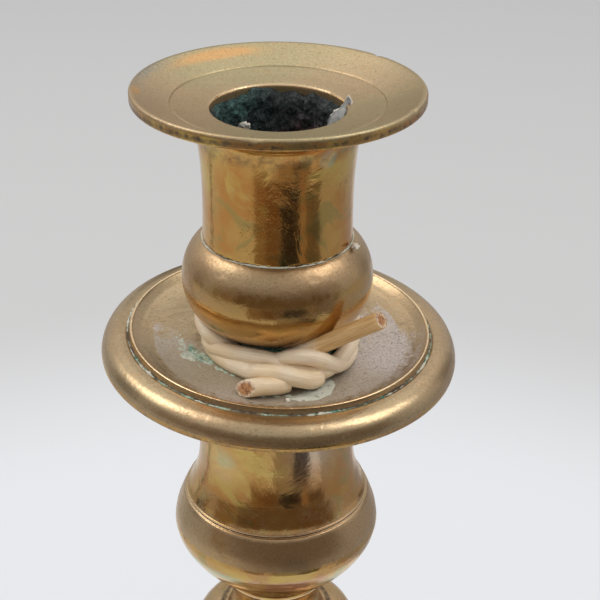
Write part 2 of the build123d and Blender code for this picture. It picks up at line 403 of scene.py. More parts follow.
def aged_brass(name, shift, olive, brown, polish, satin, pits, film_pits, stain):
    """Brass that goes from shine to dull film to bloom, with bare edges, dirt, pits and growth, and with
    painted highlights and painted shade at marked edges and grooves.
    """
    finish = bpy.context.scene.candlestick_finish
    material, tree, shader, place = new_material(name)
    place = put(tree, "ShaderNodeMapping", {"Vector": place, "Location": (shift, -shift, shift)}).outputs[0]
    own = put(tree, "ShaderNodeTexCoord").outputs["Object"]
    speckle = cloud(tree, place, SPECKS, 2.0, 0.6)
    grain = cloud(tree, place, GRAINS, 3.0, 0.6)
    patches = cloud(tree, place, PATCHES, 3.0, 0.6)
    drift = cloud(tree, place, DRIFTS, 2.0, 0.5)

    film_here = plus(tree, attribute(tree, "film"), fit(tree, patches, 0.7, -0.35))
    film_here = plus(tree, film_here, fit(tree, grain, 0.5, -0.25))
    film = ramp(tree, film_here, 0.18, 0.62)
    bloom_here = plus(tree, attribute(tree, "bloom"), fit(tree, grain, 0.9, -0.45))
    bloom = ramp(tree, bloom_here, 0.2, 0.6)

    heat = times(tree, ramp(tree, patches, 0.46, 0.62), stain)
    shine = mixed(tree, heat, tuple(finish.polished), tuple(finish.heated))
    sheen = cloud(tree, place, 110.0, 4.0, 0.62, Distortion=0.8)
    yellow = times(tree, ramp(tree, sheen, 0.50, 0.64), stain)
    shine = mixed(tree, yellow, shine, (0.66, 0.47, 0.13))
    mossy = times(tree, ramp(tree, sheen, 0.44, 0.36), stain)
    shine = mixed(tree, mossy, shine, (0.40, 0.30, 0.10))
    shine = mixed(tree, brown * 0.5, shine, (0.40, 0.27, 0.11))
    green = times(tree, ramp(tree, drift, 0.40, 0.60), olive)
    dull = mixed(tree, green, tuple(finish.film), tuple(finish.olive))
    tanned = fit(tree, ramp(tree, drift, 0.56, 0.42), 0.5, 0.5)
    dull = mixed(tree, times(tree, tanned, brown), dull, tuple(finish.brown))
    warm = times(tree, ramp(tree, grain, 0.50, 0.72), 0.35)
    dull = mixed(tree, warm, dull, (0.55, 0.33, 0.16))
    colour = mixed(tree, film, shine, dull)
    frost = mixed(tree, ramp(tree, speckle, 0.46, 0.66), tuple(finish.bloom), (0.44, 0.37, 0.33))
    frost = mixed(tree, ramp(tree, drift, 0.44, 0.62), frost, (0.43, 0.36, 0.26))
    colour = mixed(tree, bloom, colour, frost)
    blush = ramp(tree, times(tree, attribute(tree, "orange"), plus(tree, patches, 0.5)), 0.15, 0.8)
    colour = mixed(tree, blush, colour, (0.62, 0.37, 0.16))
    ash = times(tree, attribute(tree, "ash"), ramp(tree, speckle, 0.36, 0.56))
    colour = mixed(tree, ash, colour, (0.33, 0.33, 0.29))
    colour = mixed(tree, times(tree, attribute(tree, "lilac"), 0.8), colour, (0.60, 0.50, 0.46))
    tints = use(tree, "heat_tints", {"Place": place})
    tinted = times(tree, attribute(tree, "tinted"), plus(tree, patches, 0.45))
    colour = mixed(tree, ramp(tree, tinted, 0.15, 0.8), colour, tints.outputs["Colour"])

    speck = times(tree, ramp(tree, speckle, 0.56, 0.70), fit(tree, film, 0.35, 0.08))
    colour = mixed(tree, speck, colour, (0.20, 0.13, 0.07))
    pale = times(tree, ramp(tree, speckle, 0.44, 0.30), times(tree, film, 0.25))
    colour = mixed(tree, pale, colour, (0.72, 0.62, 0.46))

    cover = plus(tree, blended(tree, film, pits, film_pits), attribute(tree, "pitted"))
    pit = use(tree, "small_pits", {"Place": place, "Count": PITS, "Cover": cover}).outputs["Mask"]
    colour = mixed(tree, times(tree, pit, 0.6), colour, tuple(finish.dirt))
    # Dirt colour at the marked spots: partly real dirt, partly painted shade under edges and in grooves, and
    # a painted dark reflection on the flange's outer edge.
    soil = times(tree, attribute(tree, "soil"), fit(tree, grain, 1.4, 0.25))
    soil = ramp(tree, soil, 0.15, 0.7)
    colour = mixed(tree, soil, colour, tuple(finish.dirt))
    # Bare edge colour at the marked spots: partly rubbed wear, partly painted highlights on the flange's top
    # edge and along the scribed line.
    worn = ramp(tree, times(tree, attribute(tree, "worn"), plus(tree, grain, 0.6)), 0.3, 0.8)
    colour = mixed(tree, worn, colour, tuple(finish.bare))

    growth = use(
        tree,
        "copper_growth",
        {
            "Place": place,
            "Crevice": attribute(tree, "crevice"),
            "Pale": tuple(finish.verdigris),
            "Deep": tuple(finish.deep_verdigris),
        },
    )
    colour = mixed(tree, growth.outputs["Mask"], colour, growth.outputs["Colour"])
    tree.links.new(colour, shader.inputs["Base Color"])

    rough = blended(tree, film, fit(tree, patches, 0.10, polish - 0.03), satin)
    rough = blended(tree, bloom, rough, 0.50)
    rough = blended(tree, worn, rough, 0.24)
    rough = plus(tree, rough, times(tree, plus(tree, pit, soil), 0.2))
    rough = plus(tree, rough, fit(tree, speckle, 0.16, -0.08))
    rough = blended(tree, growth.outputs["Mask"], rough, 0.88)
    tree.links.new(rough, shader.inputs["Roughness"])
    covered = maths(tree, "MAXIMUM", growth.outputs["Mask"], times(tree, soil, 0.8))
    covered = maths(tree, "MAXIMUM", covered, times(tree, bloom, 0.6))
    tree.links.new(less(tree, 1.0, covered), shader.inputs["Metallic"])

    rings = use(tree, "turning_marks", {"Place": own, "Rings": LATHE_RINGS, "Length": 1.6}).outputs["Height"]
    surface = times(tree, rings, fit(tree, film, 0.35, 0.16))
    surface = plus(tree, surface, times(tree, speckle, fit(tree, film, 0.7, 0.06)))
    surface = less(tree, surface, times(tree, pit, 1.3))
    fine = bump(tree, shader, surface, 0.00002)
    hand = bump(tree, shader, plus(tree, sheen, patches), 0.00016, under=fine)
    bump(tree, shader, growth.outputs["Height"], 0.00025, under=hand)
    return material


def growth_material():
    """Thick verdigris, chalky and lumpy."""
    finish = bpy.context.scene.candlestick_finish
    material, tree, shader, place = new_material("thick_verdigris")
    growth = use(
        tree,
        "copper_growth",
        {
            "Place": place,
            "Crevice": 1.0,
            "Pale": tuple(finish.verdigris),
            "Deep": tuple(finish.deep_verdigris),
        },
    )
    colour = mixed(tree, attribute(tree, "wax"), growth.outputs["Colour"], (0.62, 0.61, 0.51))
    crumbs = ramp(tree, cloud(tree, place, 1100.0, 3.0), 0.58, 0.66)
    colour = mixed(tree, times(tree, crumbs, 0.5), colour, (0.12, 0.10, 0.07))
    tree.links.new(colour, shader.inputs["Base Color"])
    rough = fit(tree, cloud(tree, place, 900.0), 0.4, 0.5)
    tree.links.new(rough, shader.inputs["Roughness"])
    shader.inputs["Specular IOR Level"].default_value = 0.35
    fine = bump(tree, shader, cloud(tree, place, 2800.0, 3.0), 0.00008)
    bump(tree, shader, growth.outputs["Height"], 0.0003, under=fine)
    return material


def bore_dirt_material():
    """Furry lining of the socket: teal growth, soot, grey wax film and burnt red-brown wax."""
    material, tree, shader, place = new_material("socket_dirt")
    fluff = cloud(tree, place, 700.0, 5.0, 0.7)
    broad = cloud(tree, place, 130.0, 3.0, 0.6)
    curls = cloud(tree, place, 620.0, 3.0, 0.6, Distortion=3.4)
    wisp = ramp(tree, maths(tree, "ABSOLUTE", less(tree, curls, 0.5)), 0.035, 0.005)
    soot = mixed(tree, ramp(tree, fluff, 0.44, 0.70), (0.004, 0.007, 0.007), (0.03, 0.042, 0.04))
    teal = mixed(tree, ramp(tree, fluff, 0.40, 0.62), (0.012, 0.05, 0.045), (0.085, 0.20, 0.18))
    green = times(tree, attribute(tree, "teal"), plus(tree, 0.45, fluff))
    colour = mixed(tree, ramp(tree, green, 0.42, 0.90), soot, teal)
    haze = times(tree, attribute(tree, "haze"), ramp(tree, fluff, 0.38, 0.62))
    colour = mixed(tree, haze, colour, (0.17, 0.17, 0.18))
    burnt = times(tree, attribute(tree, "burnt"), ramp(tree, fluff, 0.42, 0.58))
    colour = mixed(tree, burnt, colour, (0.16, 0.045, 0.035))
    strand = times(tree, wisp, ramp(tree, broad, 0.30, 0.62))
    pale = mixed(tree, attribute(tree, "burnt"), (0.20, 0.36, 0.34), (0.40, 0.13, 0.09))
    colour = mixed(tree, strand, colour, pale)
    tree.links.new(colour, shader.inputs["Base Color"])
    rough = fit(tree, fluff, 0.5, 0.35)
    tree.links.new(rough, shader.inputs["Roughness"])
    fine = bump(tree, shader, cloud(tree, place, 2600.0, 4.0, 0.7), 0.00015)
    bump(tree, shader, plus(tree, fluff, wisp), 0.0005, under=fine)
    return material


def wax_material():
    """Old candle wax: pale grey, chalky at its edges."""
    material, tree, shader, place = new_material("grey_wax")
    haze = cloud(tree, place, 380.0, 4.0, 0.6)
    colour = mixed(tree, ramp(tree, haze, 0.40, 0.64), (0.20, 0.205, 0.21), (0.40, 0.40, 0.38))
    colour = mixed(tree, ramp(tree, attribute(tree, "edge"), 0.35, 0.9), colour, (0.74, 0.70, 0.60))
    tree.links.new(colour, shader.inputs["Base Color"])
    tree.links.new(fit(tree, haze, 0.4, 0.25), shader.inputs["Roughness"])
    bump(tree, shader, haze, 0.0002)
    return material


def cane_material():
    """Cane skin with long fibres, tan where it weathered, with a rind and a pithy cut end."""
    finish = bpy.context.scene.candlestick_finish
    material, tree, shader, place = new_material("cane_skin")
    lay = put(tree, "ShaderNodeAttribute", attribute_name="lay").outputs["Vector"]
    fibre = cloud(tree, lay, 2.4, 3.0, 0.6)
    thread = cloud(tree, lay, 7.0, 2.0, 0.6)
    broad = cloud(tree, place, 120.0, 3.0, 0.6)
    dapple = cloud(tree, place, 420.0, 3.0, 0.6)
    cream = mixed(tree, ramp(tree, fibre, 0.38, 0.66), tuple(finish.cane), (0.90, 0.79, 0.60))
    cream = mixed(tree, times(tree, ramp(tree, broad, 0.44, 0.64), 0.6), cream, (0.76, 0.56, 0.32))
    cream = mixed(tree, times(tree, ramp(tree, dapple, 0.52, 0.70), 0.35), cream, (0.80, 0.62, 0.52))
    tan = mixed(tree, ramp(tree, fibre, 0.36, 0.66), tuple(finish.cane_tan), (0.72, 0.46, 0.20))
    colour = mixed(tree, attribute(tree, "tan"), cream, tan)
    crack = times(tree, ramp(tree, thread, 0.62, 0.72), 0.3)
    colour = mixed(tree, crack, colour, (0.30, 0.19, 0.10))
    # Painted shade: dark brown under the bulb and where the cane lies on the pan floor.
    colour = mixed(tree, times(tree, attribute(tree, "crevice"), 0.7), colour, (0.20, 0.155, 0.085))
    pores = ramp(tree, cloud(tree, place, 1800.0, 2.0), 0.50, 0.62)
    pith = mixed(tree, pores, (0.55, 0.27, 0.12), (0.40, 0.17, 0.07))
    rind = mixed(tree, pores, (0.80, 0.62, 0.44), (0.66, 0.46, 0.30))
    face = mixed(tree, ramp(tree, attribute(tree, "core"), 0.15, 0.45), rind, pith)
    colour = mixed(tree, attribute(tree, "cut"), colour, face)
    tree.links.new(colour, shader.inputs["Base Color"])
    rough = fit(tree, fibre, 0.25, 0.28)
    rough = blended(tree, attribute(tree, "cut"), rough, 0.9)
    tree.links.new(rough, shader.inputs["Roughness"])
    fine = bump(tree, shader, plus(tree, fibre, times(tree, thread, 0.6)), 0.00006)
    bump(tree, shader, times(tree, pores, attribute(tree, "cut")), 0.0002, under=fine)
    return material


def iron_material():
    """Iron with rust blooming over it."""
    finish = bpy.context.scene.candlestick_finish
    material, tree, shader, place = new_material("rusty_iron")
    patches = cloud(tree, place, 160.0, 4.0, 0.65)
    grit = cloud(tree, place, 1500.0, 3.0, 0.6)
    rust = ramp(tree, plus(tree, patches, fit(tree, grit, 0.4, -0.2)), 0.42, 0.58)
    orange = mixed(tree, ramp(tree, grit, 0.42, 0.62), tuple(finish.rust), (0.34, 0.13, 0.045))
    tree.links.new(mixed(tree, rust, tuple(finish.iron), orange), shader.inputs["Base Color"])
    tree.links.new(blended(tree, rust, 0.42, 0.92), shader.inputs["Roughness"])
    tree.links.new(less(tree, 1.0, rust), shader.inputs["Metallic"])
    bump(tree, shader, plus(tree, grit, times(tree, rust, 0.8)), 0.00012)
    return material


# ---- outlines ----------------------------------------------------------------------------------
# An outline is a list of (radius, height, film, bloom).
# Film is how dull the surface has gone, bloom how frosted.


def run(points, film=0.5, bloom=0.0):
    """A straight-sided stretch of an outline."""
    return [(r, z, film, bloom) for r, z in points]


def arc(centre, radii, start, end, film=0.5, bloom=0.0, steps=14):
    """Elliptical stretch; angles in degrees from outwards, towards up."""
    points = []
    for step in range(steps + 1):
        angle = math.radians(start + (end - start) * step / steps)
        points.append((centre[0] + radii[0] * math.cos(angle), centre[1] + radii[1] * math.sin(angle)))
    return run(points, film, bloom)


def curve(points, film=0.5, bloom=0.0, steps=6):
    """Smooth stretch through points."""
    points = [Vector(p) for p in points]
    ends = [2 * points[0] - points[1], *points, 2 * points[-1] - points[-2]]
    smooth = []
    for a, b, c, d in zip(ends, ends[1:], ends[2:], ends[3:]):
        for step in range(steps):
            t = step / steps
            p = 0.5 * (
                2 * b + (c - a) * t + (2 * a - 5 * b + 4 * c - d) * t**2 + (3 * b - a - 3 * c + d) * t**3
            )
            smooth.append(tuple(p))
    return run(smooth + [tuple(points[-1])], film, bloom)


def soften(outline, size):
    """Round off every sharp corner of an outline."""
    rounded = [outline[0]]
    for before, here, after in zip(outline, outline[1:], outline[2:]):
        a, b, c = (Vector(p[:2]) for p in (before, here, after))
        if (b - a).length < 1e-6 or (c - b).length < 1e-6:
            continue
        if (b - a).angle(c - b) < math.radians(22):
            rounded.append(here)
            continue
        cut = min(size, 0.42 * (b - a).length, 0.42 * (c - b).length)
        first, last = b + (a - b).normalized() * cut, b + (c - b).normalized() * cut
        for step in range(5):
            t = step / 4
            p = first * (1 - t) ** 2 + b * 2 * t * (1 - t) + last * t**2
            rounded.append((p.x, p.y, here[2], here[3]))
    return rounded + [outline[-1]]


def subdivided(outline, spacing):
    """Add points so that no step of an outline is longer than spacing."""
    fine = [outline[0]]
    for before, here in zip(outline, outline[1:]):
        length = math.dist(before[:2], here[:2])
        steps = max(1, math.ceil(length / spacing))
        if length > 1e-5:
            fine += [
                tuple(p + (q - p) * step / steps for p, q in zip(before, here)) for step in range(
                    1, steps + 1
                )
            ]
    return fine


def faded(outline, reach=0.5):
    """Blur film and bloom along an outline, so that one finish runs into the next."""
    spread = []
    for r, z, _, _ in outline:
        film = bloom = total = 0
        for point in outline:
            weight = math.exp(-(((point[0] - r) ** 2 + (point[1] - z) ** 2) / reach**2))
            film, bloom, total = film + weight * point[2], bloom + weight * point[3], total + weight
        spread.append((r, z, film / total, bloom / total))
    return spread


def nearness(r, z, marks):
    """Strongest of the marks (radius, height, reach, amount) at a point."""
    values = [amount * math.exp(-((r - x) ** 2 + (z - y) ** 2) / reach**2) for x, y, reach, amount in marks]
    return max(values, default=0.0)


# ---- turned pieces -----------------------------------------------------------------------------

SECTION_VALUES = ("film", "bloom", "crevice", "worn", "soil")


def turned_section_tree():
    """Geometry nodes: turn an outline round the axis, with a little wobble and crusted corners."""
    tree = bpy.data.node_groups.new("turned_section", "GeometryNodeTree")
    wanted = (
        ("Outline", "NodeSocketGeometry"),
        ("Segments", "NodeSocketInt"),
        ("Wobble", "NodeSocketFloat"),
        ("Crust", "NodeSocketFloat"),
        ("Seed", "NodeSocketFloat"),
        ("Material", "NodeSocketMaterial"),
    )
    for label, kind in wanted:
        tree.interface.new_socket(label, in_out="INPUT", socket_type=kind)
    tree.interface.new_socket("Turned", in_out="OUTPUT", socket_type="NodeSocketGeometry")
    given, result = put(tree, "NodeGroupInput"), put(tree, "NodeGroupOutput")
    outline, segments = given.outputs["Outline"], given.outputs["Segments"]
    count = put(tree, "GeometryNodeAttributeDomainSize", {"Geometry": outline}).outputs["Point Count"]
    sheet = put(
        tree, "GeometryNodeMeshGrid", {"Vertices X": plus(tree, segments, 1), "Vertices Y": count}
    ).outputs["Mesh"]
    index = put(tree, "GeometryNodeInputIndex").outputs[0]
    along = maths(tree, "MODULO", index, count)
    around = maths(tree, "FLOOR", maths(tree, "DIVIDE", plus(tree, index, 0.5), count))
    angle = times(tree, maths(tree, "DIVIDE", around, segments), math.tau)

    def sampled(value, kind):
        node = put(tree, "GeometryNodeSampleIndex", {"Geometry": outline}, data_type=kind)
        tree.links.new(value, node.inputs["Value"])
        tree.links.new(along, node.inputs["Index"])
        return node.outputs["Value"]

    spot = put(
        tree, "ShaderNodeSeparateXYZ", {
            0: sampled(put(tree, "GeometryNodeInputPosition").outputs[0], "FLOAT_VECTOR")
        }
    )
    place = put(
        tree,
        "ShaderNodeCombineXYZ",
        {
            0: times(tree, spot.outputs[0], maths(tree, "COSINE", angle)),
            1: times(tree, spot.outputs[0], maths(tree, "SINE", angle)),
            2: spot.outputs[2],
        },
    )
    mesh = put(
        tree, "GeometryNodeSetPosition", {"Geometry": sheet, "Position": place.outputs[0]}
    ).outputs["Geometry"]
    for name in SECTION_VALUES:
        value = put(
            tree, "GeometryNodeInputNamedAttribute", {"Name": name}, data_type="FLOAT"
        ).outputs["Attribute"]
        mesh = put(
            tree,
            "GeometryNodeStoreNamedAttribute",
            {"Geometry": mesh, "Name": name, "Value": sampled(value, "FLOAT")},
            data_type="FLOAT",
            domain="POINT",
        ).outputs["Geometry"]
    mesh = put(
        tree, "GeometryNodeMergeByDistance", {"Geometry": mesh, "Distance": 0.000004}
    ).outputs["Geometry"]

    where = put(tree, "GeometryNodeInputPosition").outputs[0]
    seeded = {"Vector": where, "W": given.outputs["Seed"]}
    broad = put(
        tree, "ShaderNodeTexNoise", {**seeded, "Scale": 55.0, "Detail": 2.0}, noise_dimensions="4D"
    ).outputs[0]
    lumpy = put(
        tree, "ShaderNodeTexNoise", {
            **seeded, "Scale": 650.0, "Detail": 4.0, "Roughness": 0.65
        }, noise_dimensions="4D"
    ).outputs[0]
    crevice = put(
        tree, "GeometryNodeInputNamedAttribute", {"Name": "crevice"}, data_type="FLOAT"
    ).outputs["Attribute"]
    lumps = maths(tree, "MAXIMUM", less(tree, lumpy, 0.44), 0.0)
    crust = times(tree, times(tree, lumps, crevice), 5.0)
    rise = plus(
        tree,
        times(tree, less(tree, broad, 0.5), given.outputs["Wobble"]),
        times(tree, crust, given.outputs["Crust"]),
    )
    outwards = put(tree, "GeometryNodeInputNormal").outputs[0]
    lifted = put(tree, "ShaderNodeVectorMath", {0: outwards, "Scale": rise}, operation="SCALE").outputs[0]
    mesh = put(tree, "GeometryNodeSetPosition", {"Geometry": mesh, "Offset": lifted}).outputs["Geometry"]
    mesh = put(tree, "GeometryNodeSetShadeSmooth", {"Geometry": mesh}).outputs[0]
    mesh = put(
        tree, "GeometryNodeSetMaterial", {"Geometry": mesh, "Material": given.outputs["Material"]}
    ).outputs["Geometry"]
    mesh = put(tree, "GeometryNodeRealizeInstances", {"Geometry": mesh}).outputs["Geometry"]
    tree.links.new(mesh, result.inputs["Turned"])
    return tree


def linked(name, mesh):
    """A new object at the origin."""
    piece = bpy.data.objects.new(name, mesh)
    bpy.context.scene.collection.objects.link(piece)
    return piece


def outward(mesh):
    """Point the faces of a closed mesh outwards."""
    shape = bmesh.new()
    shape.from_mesh(mesh)
    bmesh.ops.recalc_face_normals(shape, faces=shape.faces)
    shape.to_mesh(mesh)
    shape.free()


def closed_mesh(name, vertices, faces, values, material):
    """A smooth closed piece from its vertices in metres, its faces and its stored values."""
    mesh = bpy.data.meshes.new(name)
    mesh.from_pydata(vertices, [], faces)
    store(mesh, values)
    mesh.shade_smooth()
    mesh.materials.append(material)
    outward(mesh)
    return linked(name, mesh)


def placed(vertices, place=AT_TOP):
    """Points in millimetres in the frame of a place, moved there and given in metres."""
    return [(place @ v) * MM for v in vertices]


def turned(name, outline, material, crevices=(), worn=(), soil=(), softness=0.25, matrix=AT_TOP, crust=1.0):
    """A closed turned piece from its outline, as a plain mesh in its place."""
    turning = bpy.context.scene.candlestick_turning
    outline = faded(subdivided(soften(outline, softness), turning.spacing))
    mesh = bpy.data.meshes.new(name)
    vertices = [(r * MM, 0, z * MM) for r, z, _, _ in outline]
    mesh.from_pydata(vertices, [(i, i + 1) for i in range(len(vertices) - 1)], [])
    values = {
        "film": [p[2] for p in outline],
        "bloom": [p[3] for p in outline],
        "crevice": [nearness(p[0], p[1], crevices) for p in outline],
        "worn": [nearness(p[0], p[1], worn) for p in outline],
        "soil": [nearness(p[0], p[1], soil) for p in outline],
    }
    for key in SECTION_VALUES:
        mesh.attributes.new(key, "FLOAT", "POINT").data.foreach_set("value", values[key])
    piece = linked(name, mesh)
    tree = bpy.data.node_groups.get("turned_section") or turned_section_tree()
    modifier = piece.modifiers.new("Turned section", "NODES")
    modifier.node_group = tree
    sockets = {item.name: item.identifier for item in tree.interface.items_tree if item.in_out == "INPUT"}
    modifier[sockets["Segments"]] = turning.segments
    modifier[sockets["Wobble"]] = turning.wobble
    modifier[sockets["Crust"]] = turning.crust * crust
    modifier[sockets["Seed"]] = float(sum(map(ord, name)) % 97)
    modifier[sockets["Material"]] = material
    bpy.context.view_layer.update()
    shown = piece.evaluated_get(bpy.context.evaluated_depsgraph_get())
    made = bpy.data.meshes.new_from_object(shown)
    piece.modifiers.clear()
    piece.data = made
    made.name = name
    bpy.data.meshes.remove(mesh)
    outward(made)
    made.transform(Matrix.Scale(MM, 4) @ matrix @ Matrix.Scale(1 / MM, 4))
    return piece


def moved(piece, rule):
    """Move each vertex of a piece by a rule on millimetre positions."""
    for vertex in piece.data.vertices:
        vertex.co = rule(vertex.co / MM) * MM
    piece.data.update()


def on_arc(p, bearing, spread, radius, reach):
    """How near a point is to an arc round the axis, bearings in degrees from +X towards +Y."""
    away = (math.degrees(math.atan2(p.y, p.x)) - bearing + 180) % 360 - 180
    return math.exp(-((away / spread) ** 2) - ((math.hypot(p.x, p.y) - radius) / reach) ** 2)


def near_level(p, level, reach):
    """How near a point is to a level counted from the flange."""
    return math.exp(-(((p.z - TOP - level) / reach) ** 2))


def near_spot(p, spot, reach):
    """How near a point is to a spot whose height counts from the flange."""
    return math.exp(-((p - Vector(spot) - Vector((0, 0, TOP))).length_squared) / reach**2)


def paint(piece, **rules):
    """Store values on a piece's vertices by rules on millimetre positions."""
    store(
        piece.data,
        {key: [float(rule(v.co / MM)) for v in piece.data.vertices] for key, rule in rules.items()},
    )


def dent(piece, centre, reach, push):
    """Press a smooth dent into a piece."""
    centre, push = Vector(centre), Vector(push)
    moved(piece, lambda p: p + push * math.exp(-((p - centre).length_squared) / reach**2))


def keep(piece, body, slot, *nodes):
    """Fix a finished piece to its body and hide the model parts that it replaces."""
    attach(piece, body)
    if nodes:
        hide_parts(*nodes)


# ---- other mesh makers -------------------------------------------------------------------------


def rough(point, seed, size, octaves=4):
    """Seeded fractal noise about 0; size is the largest feature in millimetres."""
    shift = Vector((seed * 7.3, seed * -3.1, seed * 5.7))
    return noise.fractal(Vector(point) / size + shift, 0.9, 2.1, octaves)


def tube_frames(path):
    """Side vectors carried along a path without twisting."""
    ahead = [(b - a).normalized() for a, b in zip(path, path[1:])]
    ahead.append(ahead[-1])
    side = ahead[0].orthogonal().normalized()
    sides = []
    for direction in ahead:
        side = (side - direction * side.dot(direction)).normalized()
        sides.append((side, direction.cross(side), direction))
    return sides


def smooth_path(points, step=0.35):
    """Points along the smooth line through given points, evenly close."""
    points = [Vector(p) for p in points]
    ends = [2 * points[0] - points[1], *points, 2 * points[-1] - points[-2]]
    path = []
    for a, b, c, d in zip(ends, ends[1:], ends[2:], ends[3:]):
        count = max(2, round((c - b).length / step))
        for i in range(count):
            t = i / count
            path.append(
                0.5 * (
                    2 * b + (c - a) * t + (2 * a - 5 * b + 4 * c - d) * t**2 + (3 * b - a - 3 * c + d) * t**3
                )
            )
    return path + [points[-1]]


def store(mesh, values):
    """Store lists of numbers or vectors on the vertices of a mesh."""
    for key, items in values.items():
        if isinstance(items[0], float):
            mesh.attributes.new(key, "FLOAT", "POINT").data.foreach_set("value", items)
        else:
            flat = [number for item in items for number in item]
            mesh.attributes.new(key, "FLOAT_VECTOR", "POINT").data.foreach_set("vector", flat)


def cane_strand(name, points, radius, tan, crevice, slants, material, seed):
    """One strand of cane: slightly uneven, with lengthwise ribs; slants tip its two cut faces."""
    sides, cap_rings = 28, (0.86, 0.6, 0.3)
    path = smooth_path(points)
    frames = tube_frames(path)
    rings = [(i, centre, *frame, 1.0, 0.0) for i, (centre, frame) in enumerate(zip(path, frames))]
    front = [(*rings[0][:5], share, 1.0) for share in reversed(cap_rings)]
    back = [(*rings[-1][:5], share, 1.0) for share in cap_rings]
    rows = front + rings + back
    vertices, lay, core, cut_face = [], [], [], []
    length = len(path)
    for row, (i, centre, side, up, ahead, share, capped) in enumerate(rows):
        swell = 1 + 0.05 * rough((i * 0.12, seed, 0), seed, 1.0, 2)
        end = min(i, length - 1 - i)
        slant = Vector(slants[0] if i < length / 2 else slants[1])
        bevel = 1 - 0.07 * math.exp(-end / 1.2)
        for k in range(sides):
            angle = math.tau * k / sides
            rib = 1 + 0.018 * math.sin(9 * angle + i * 0.03) + 0.03 * math.sin(2 * angle + i * 0.05 + seed)
            r = radius * share * swell * bevel * rib
            p = centre + (side * math.cos(angle) + up * math.sin(angle)) * r
            p = p + ahead * (p - centre).dot(slant) * math.exp(-end / 5.0)
            if capped:
                ragged = rough((p.x * 1.6, p.y * 1.6, p.z * 1.6), seed, 1.0, 3)
                p = p + ahead * ragged * 0.22
            vertices.append(p * MM)
            lay.append((math.cos(angle) * 3, math.sin(angle) * 3, i * 0.035 + seed))
            core.append(1.0 - share if capped else 0.0)
            cut_face.append(capped)
    faces = []
    for row in range(len(rows) - 1):
        for k in range(sides):
            a, b = row * sides + k, row * sides + (k + 1) % sides
            faces.append((a, b, b + sides, a + sides))
    for row, centre, ahead in ((0, path[0], frames[0][2]), (len(rows) - 1, path[-1], frames[-1][2])):
        hub = len(vertices)
        vertices.append(centre * MM)
        lay.append((0.0, 0.0, seed))
        core.append(1.0)
        cut_face.append(1.0)
        faces += [(row * sides + k, row * sides + (k + 1) % sides, hub) for k in range(sides)]
    # Painted shade along the strand, from its shade rule.
    browned = [min(1.0, max(0.0, tan(v / MM))) for v in vertices]
    painted_cane_shade = [min(1.0, max(0.0, crevice(v / MM))) for v in vertices]
    values = {"lay": lay, "core": core, "cut": cut_face, "tan": browned, "crevice": painted_cane_shade}
    return closed_mesh(name, vertices, faces, values, material)


def joined(name, pieces):
    """Join pieces into one mesh."""
    shape = bmesh.new()
    material = next(m for m in pieces[0].data.materials if m)
    for piece in pieces:
        shape.from_mesh(piece.data)
    for face in shape.faces:
        face.material_index = 0
    mesh = bpy.data.meshes.new(name)
    shape.to_mesh(mesh)
    shape.free()
    mesh.materials.append(material)
    for piece in pieces:
        data = piece.data
        bpy.data.objects.remove(piece)
        bpy.data.meshes.remove(data)
    return linked(name, mesh)


def crust_strip(
    name, path, width, height, material, seed, wax=0.0, matrix=AT_TOP, patchy=0.35, lumpy=1.0, closed=False
):
    """A lumpy deposit along a path: a low ridge with a ragged edge, sunk a little into what it lies on."""
    across = 12
    frames = tube_frames(path)
    count = len(path)
    vertices, waxy = [], []
    for i, (centre, (_, _, ahead)) in enumerate(zip(path, frames)):
        outwards = ahead.cross(Vector((0, 0, 1))).normalized()
        taper = 1.0 if closed else math.sin(math.pi * (i + 0.5) / count) ** 0.5
        patch = 0.5 + 1.3 * rough(centre, seed, 5.0, 3)
        swell = max(0.06, 1 - patchy + patchy * 2 * patch) * taper
        for k in range(across + 1):
            t = 2 * k / across - 1
            ragged = 1 + 0.4 * lumpy * rough(centre + outwards * t, seed + 3, 2.2, 4)
            p = centre + outwards * t * width * swell * ragged
            lumps = 1 + 1.4 * lumpy * rough(p, seed + 5, 1.0, 6)
            rise = height * swell * max(0.0, 1 - t * t) ** 0.6 * max(0.1, lumps)
            vertices.append(p + Vector((0, 0, rise - 0.12)))
            waxy.append(wax)
        vertices.append(centre - Vector((0, 0, 0.25)))
        waxy.append(wax)
    row = across + 2
    faces = []
    for i in range(count if closed else count - 1):
        j = (i + 1) % count
        for k in range(row):
            m = (k + 1) % row
            faces.append((i * row + k, i * row + m, j * row + m, j * row + k))
    if not closed:
        faces += [tuple(range(row)), tuple((count - 1) * row + k for k in range(row))]
    return closed_mesh(name, placed(vertices, matrix), faces, {"wax": waxy}, material)


def ring_path(radius, start=0.0, end=360.0, step=1.6, height=0.0, centre=(0, 0), drift=0.0, seed=1):
    """Points round the axis; drift lets the radius wander."""
    path = []
    count = max(3, round(abs(end - start) / step))
    for i in range(count):
        angle = math.radians(start + (end - start) * i / count)
        wander = drift * rough((math.cos(angle) * 4, math.sin(angle) * 4, 0), seed, 2.0, 2)
        r = radius + wander
        path.append(Vector((centre[0] + r * math.cos(angle), centre[1] + r * math.sin(angle), height)))
    return path


# ---- operators: the pieces ---------------------------------------------------------------------


class PieceOperator(bpy.types.Operator):
    """Build one piece of the candlestick"""

    bl_idname = "candlestick.piece"
    bl_label = "Piece"

    def execute(self, context):
        self.build()
        return {"FINISHED"}


def brass(name):
    """A brass finish by name, made when it is first asked for."""
    keys = ("olive", "brown", "polish", "satin", "pits", "film_pits", "stain")
    finishes = {
        "brass_socket": (0.9, 0.1, 0.15, 0.46, 0.4, 0.12, 0.75),
        "brass_knop": (0.45, 0.9, 0.15, 0.40, 0.2, 0.45, 0.35),
        "brass_pan": (0.25, 0.35, 0.20, 0.33, 0.35, 0.5, 0.4),
        "brass_stem": (0.3, 0.6, 0.15, 0.36, 0.3, 0.35, 0.85),
    }
    shift = 0.11 + 0.13 * list(finishes).index(name)
    return bpy.data.materials.get(name) or aged_brass(name, shift, **dict(zip(keys, finishes[name])))


def shared(name, maker):
    """A material by name, made when it is first asked for."""
    return bpy.data.materials.get(name) or maker()


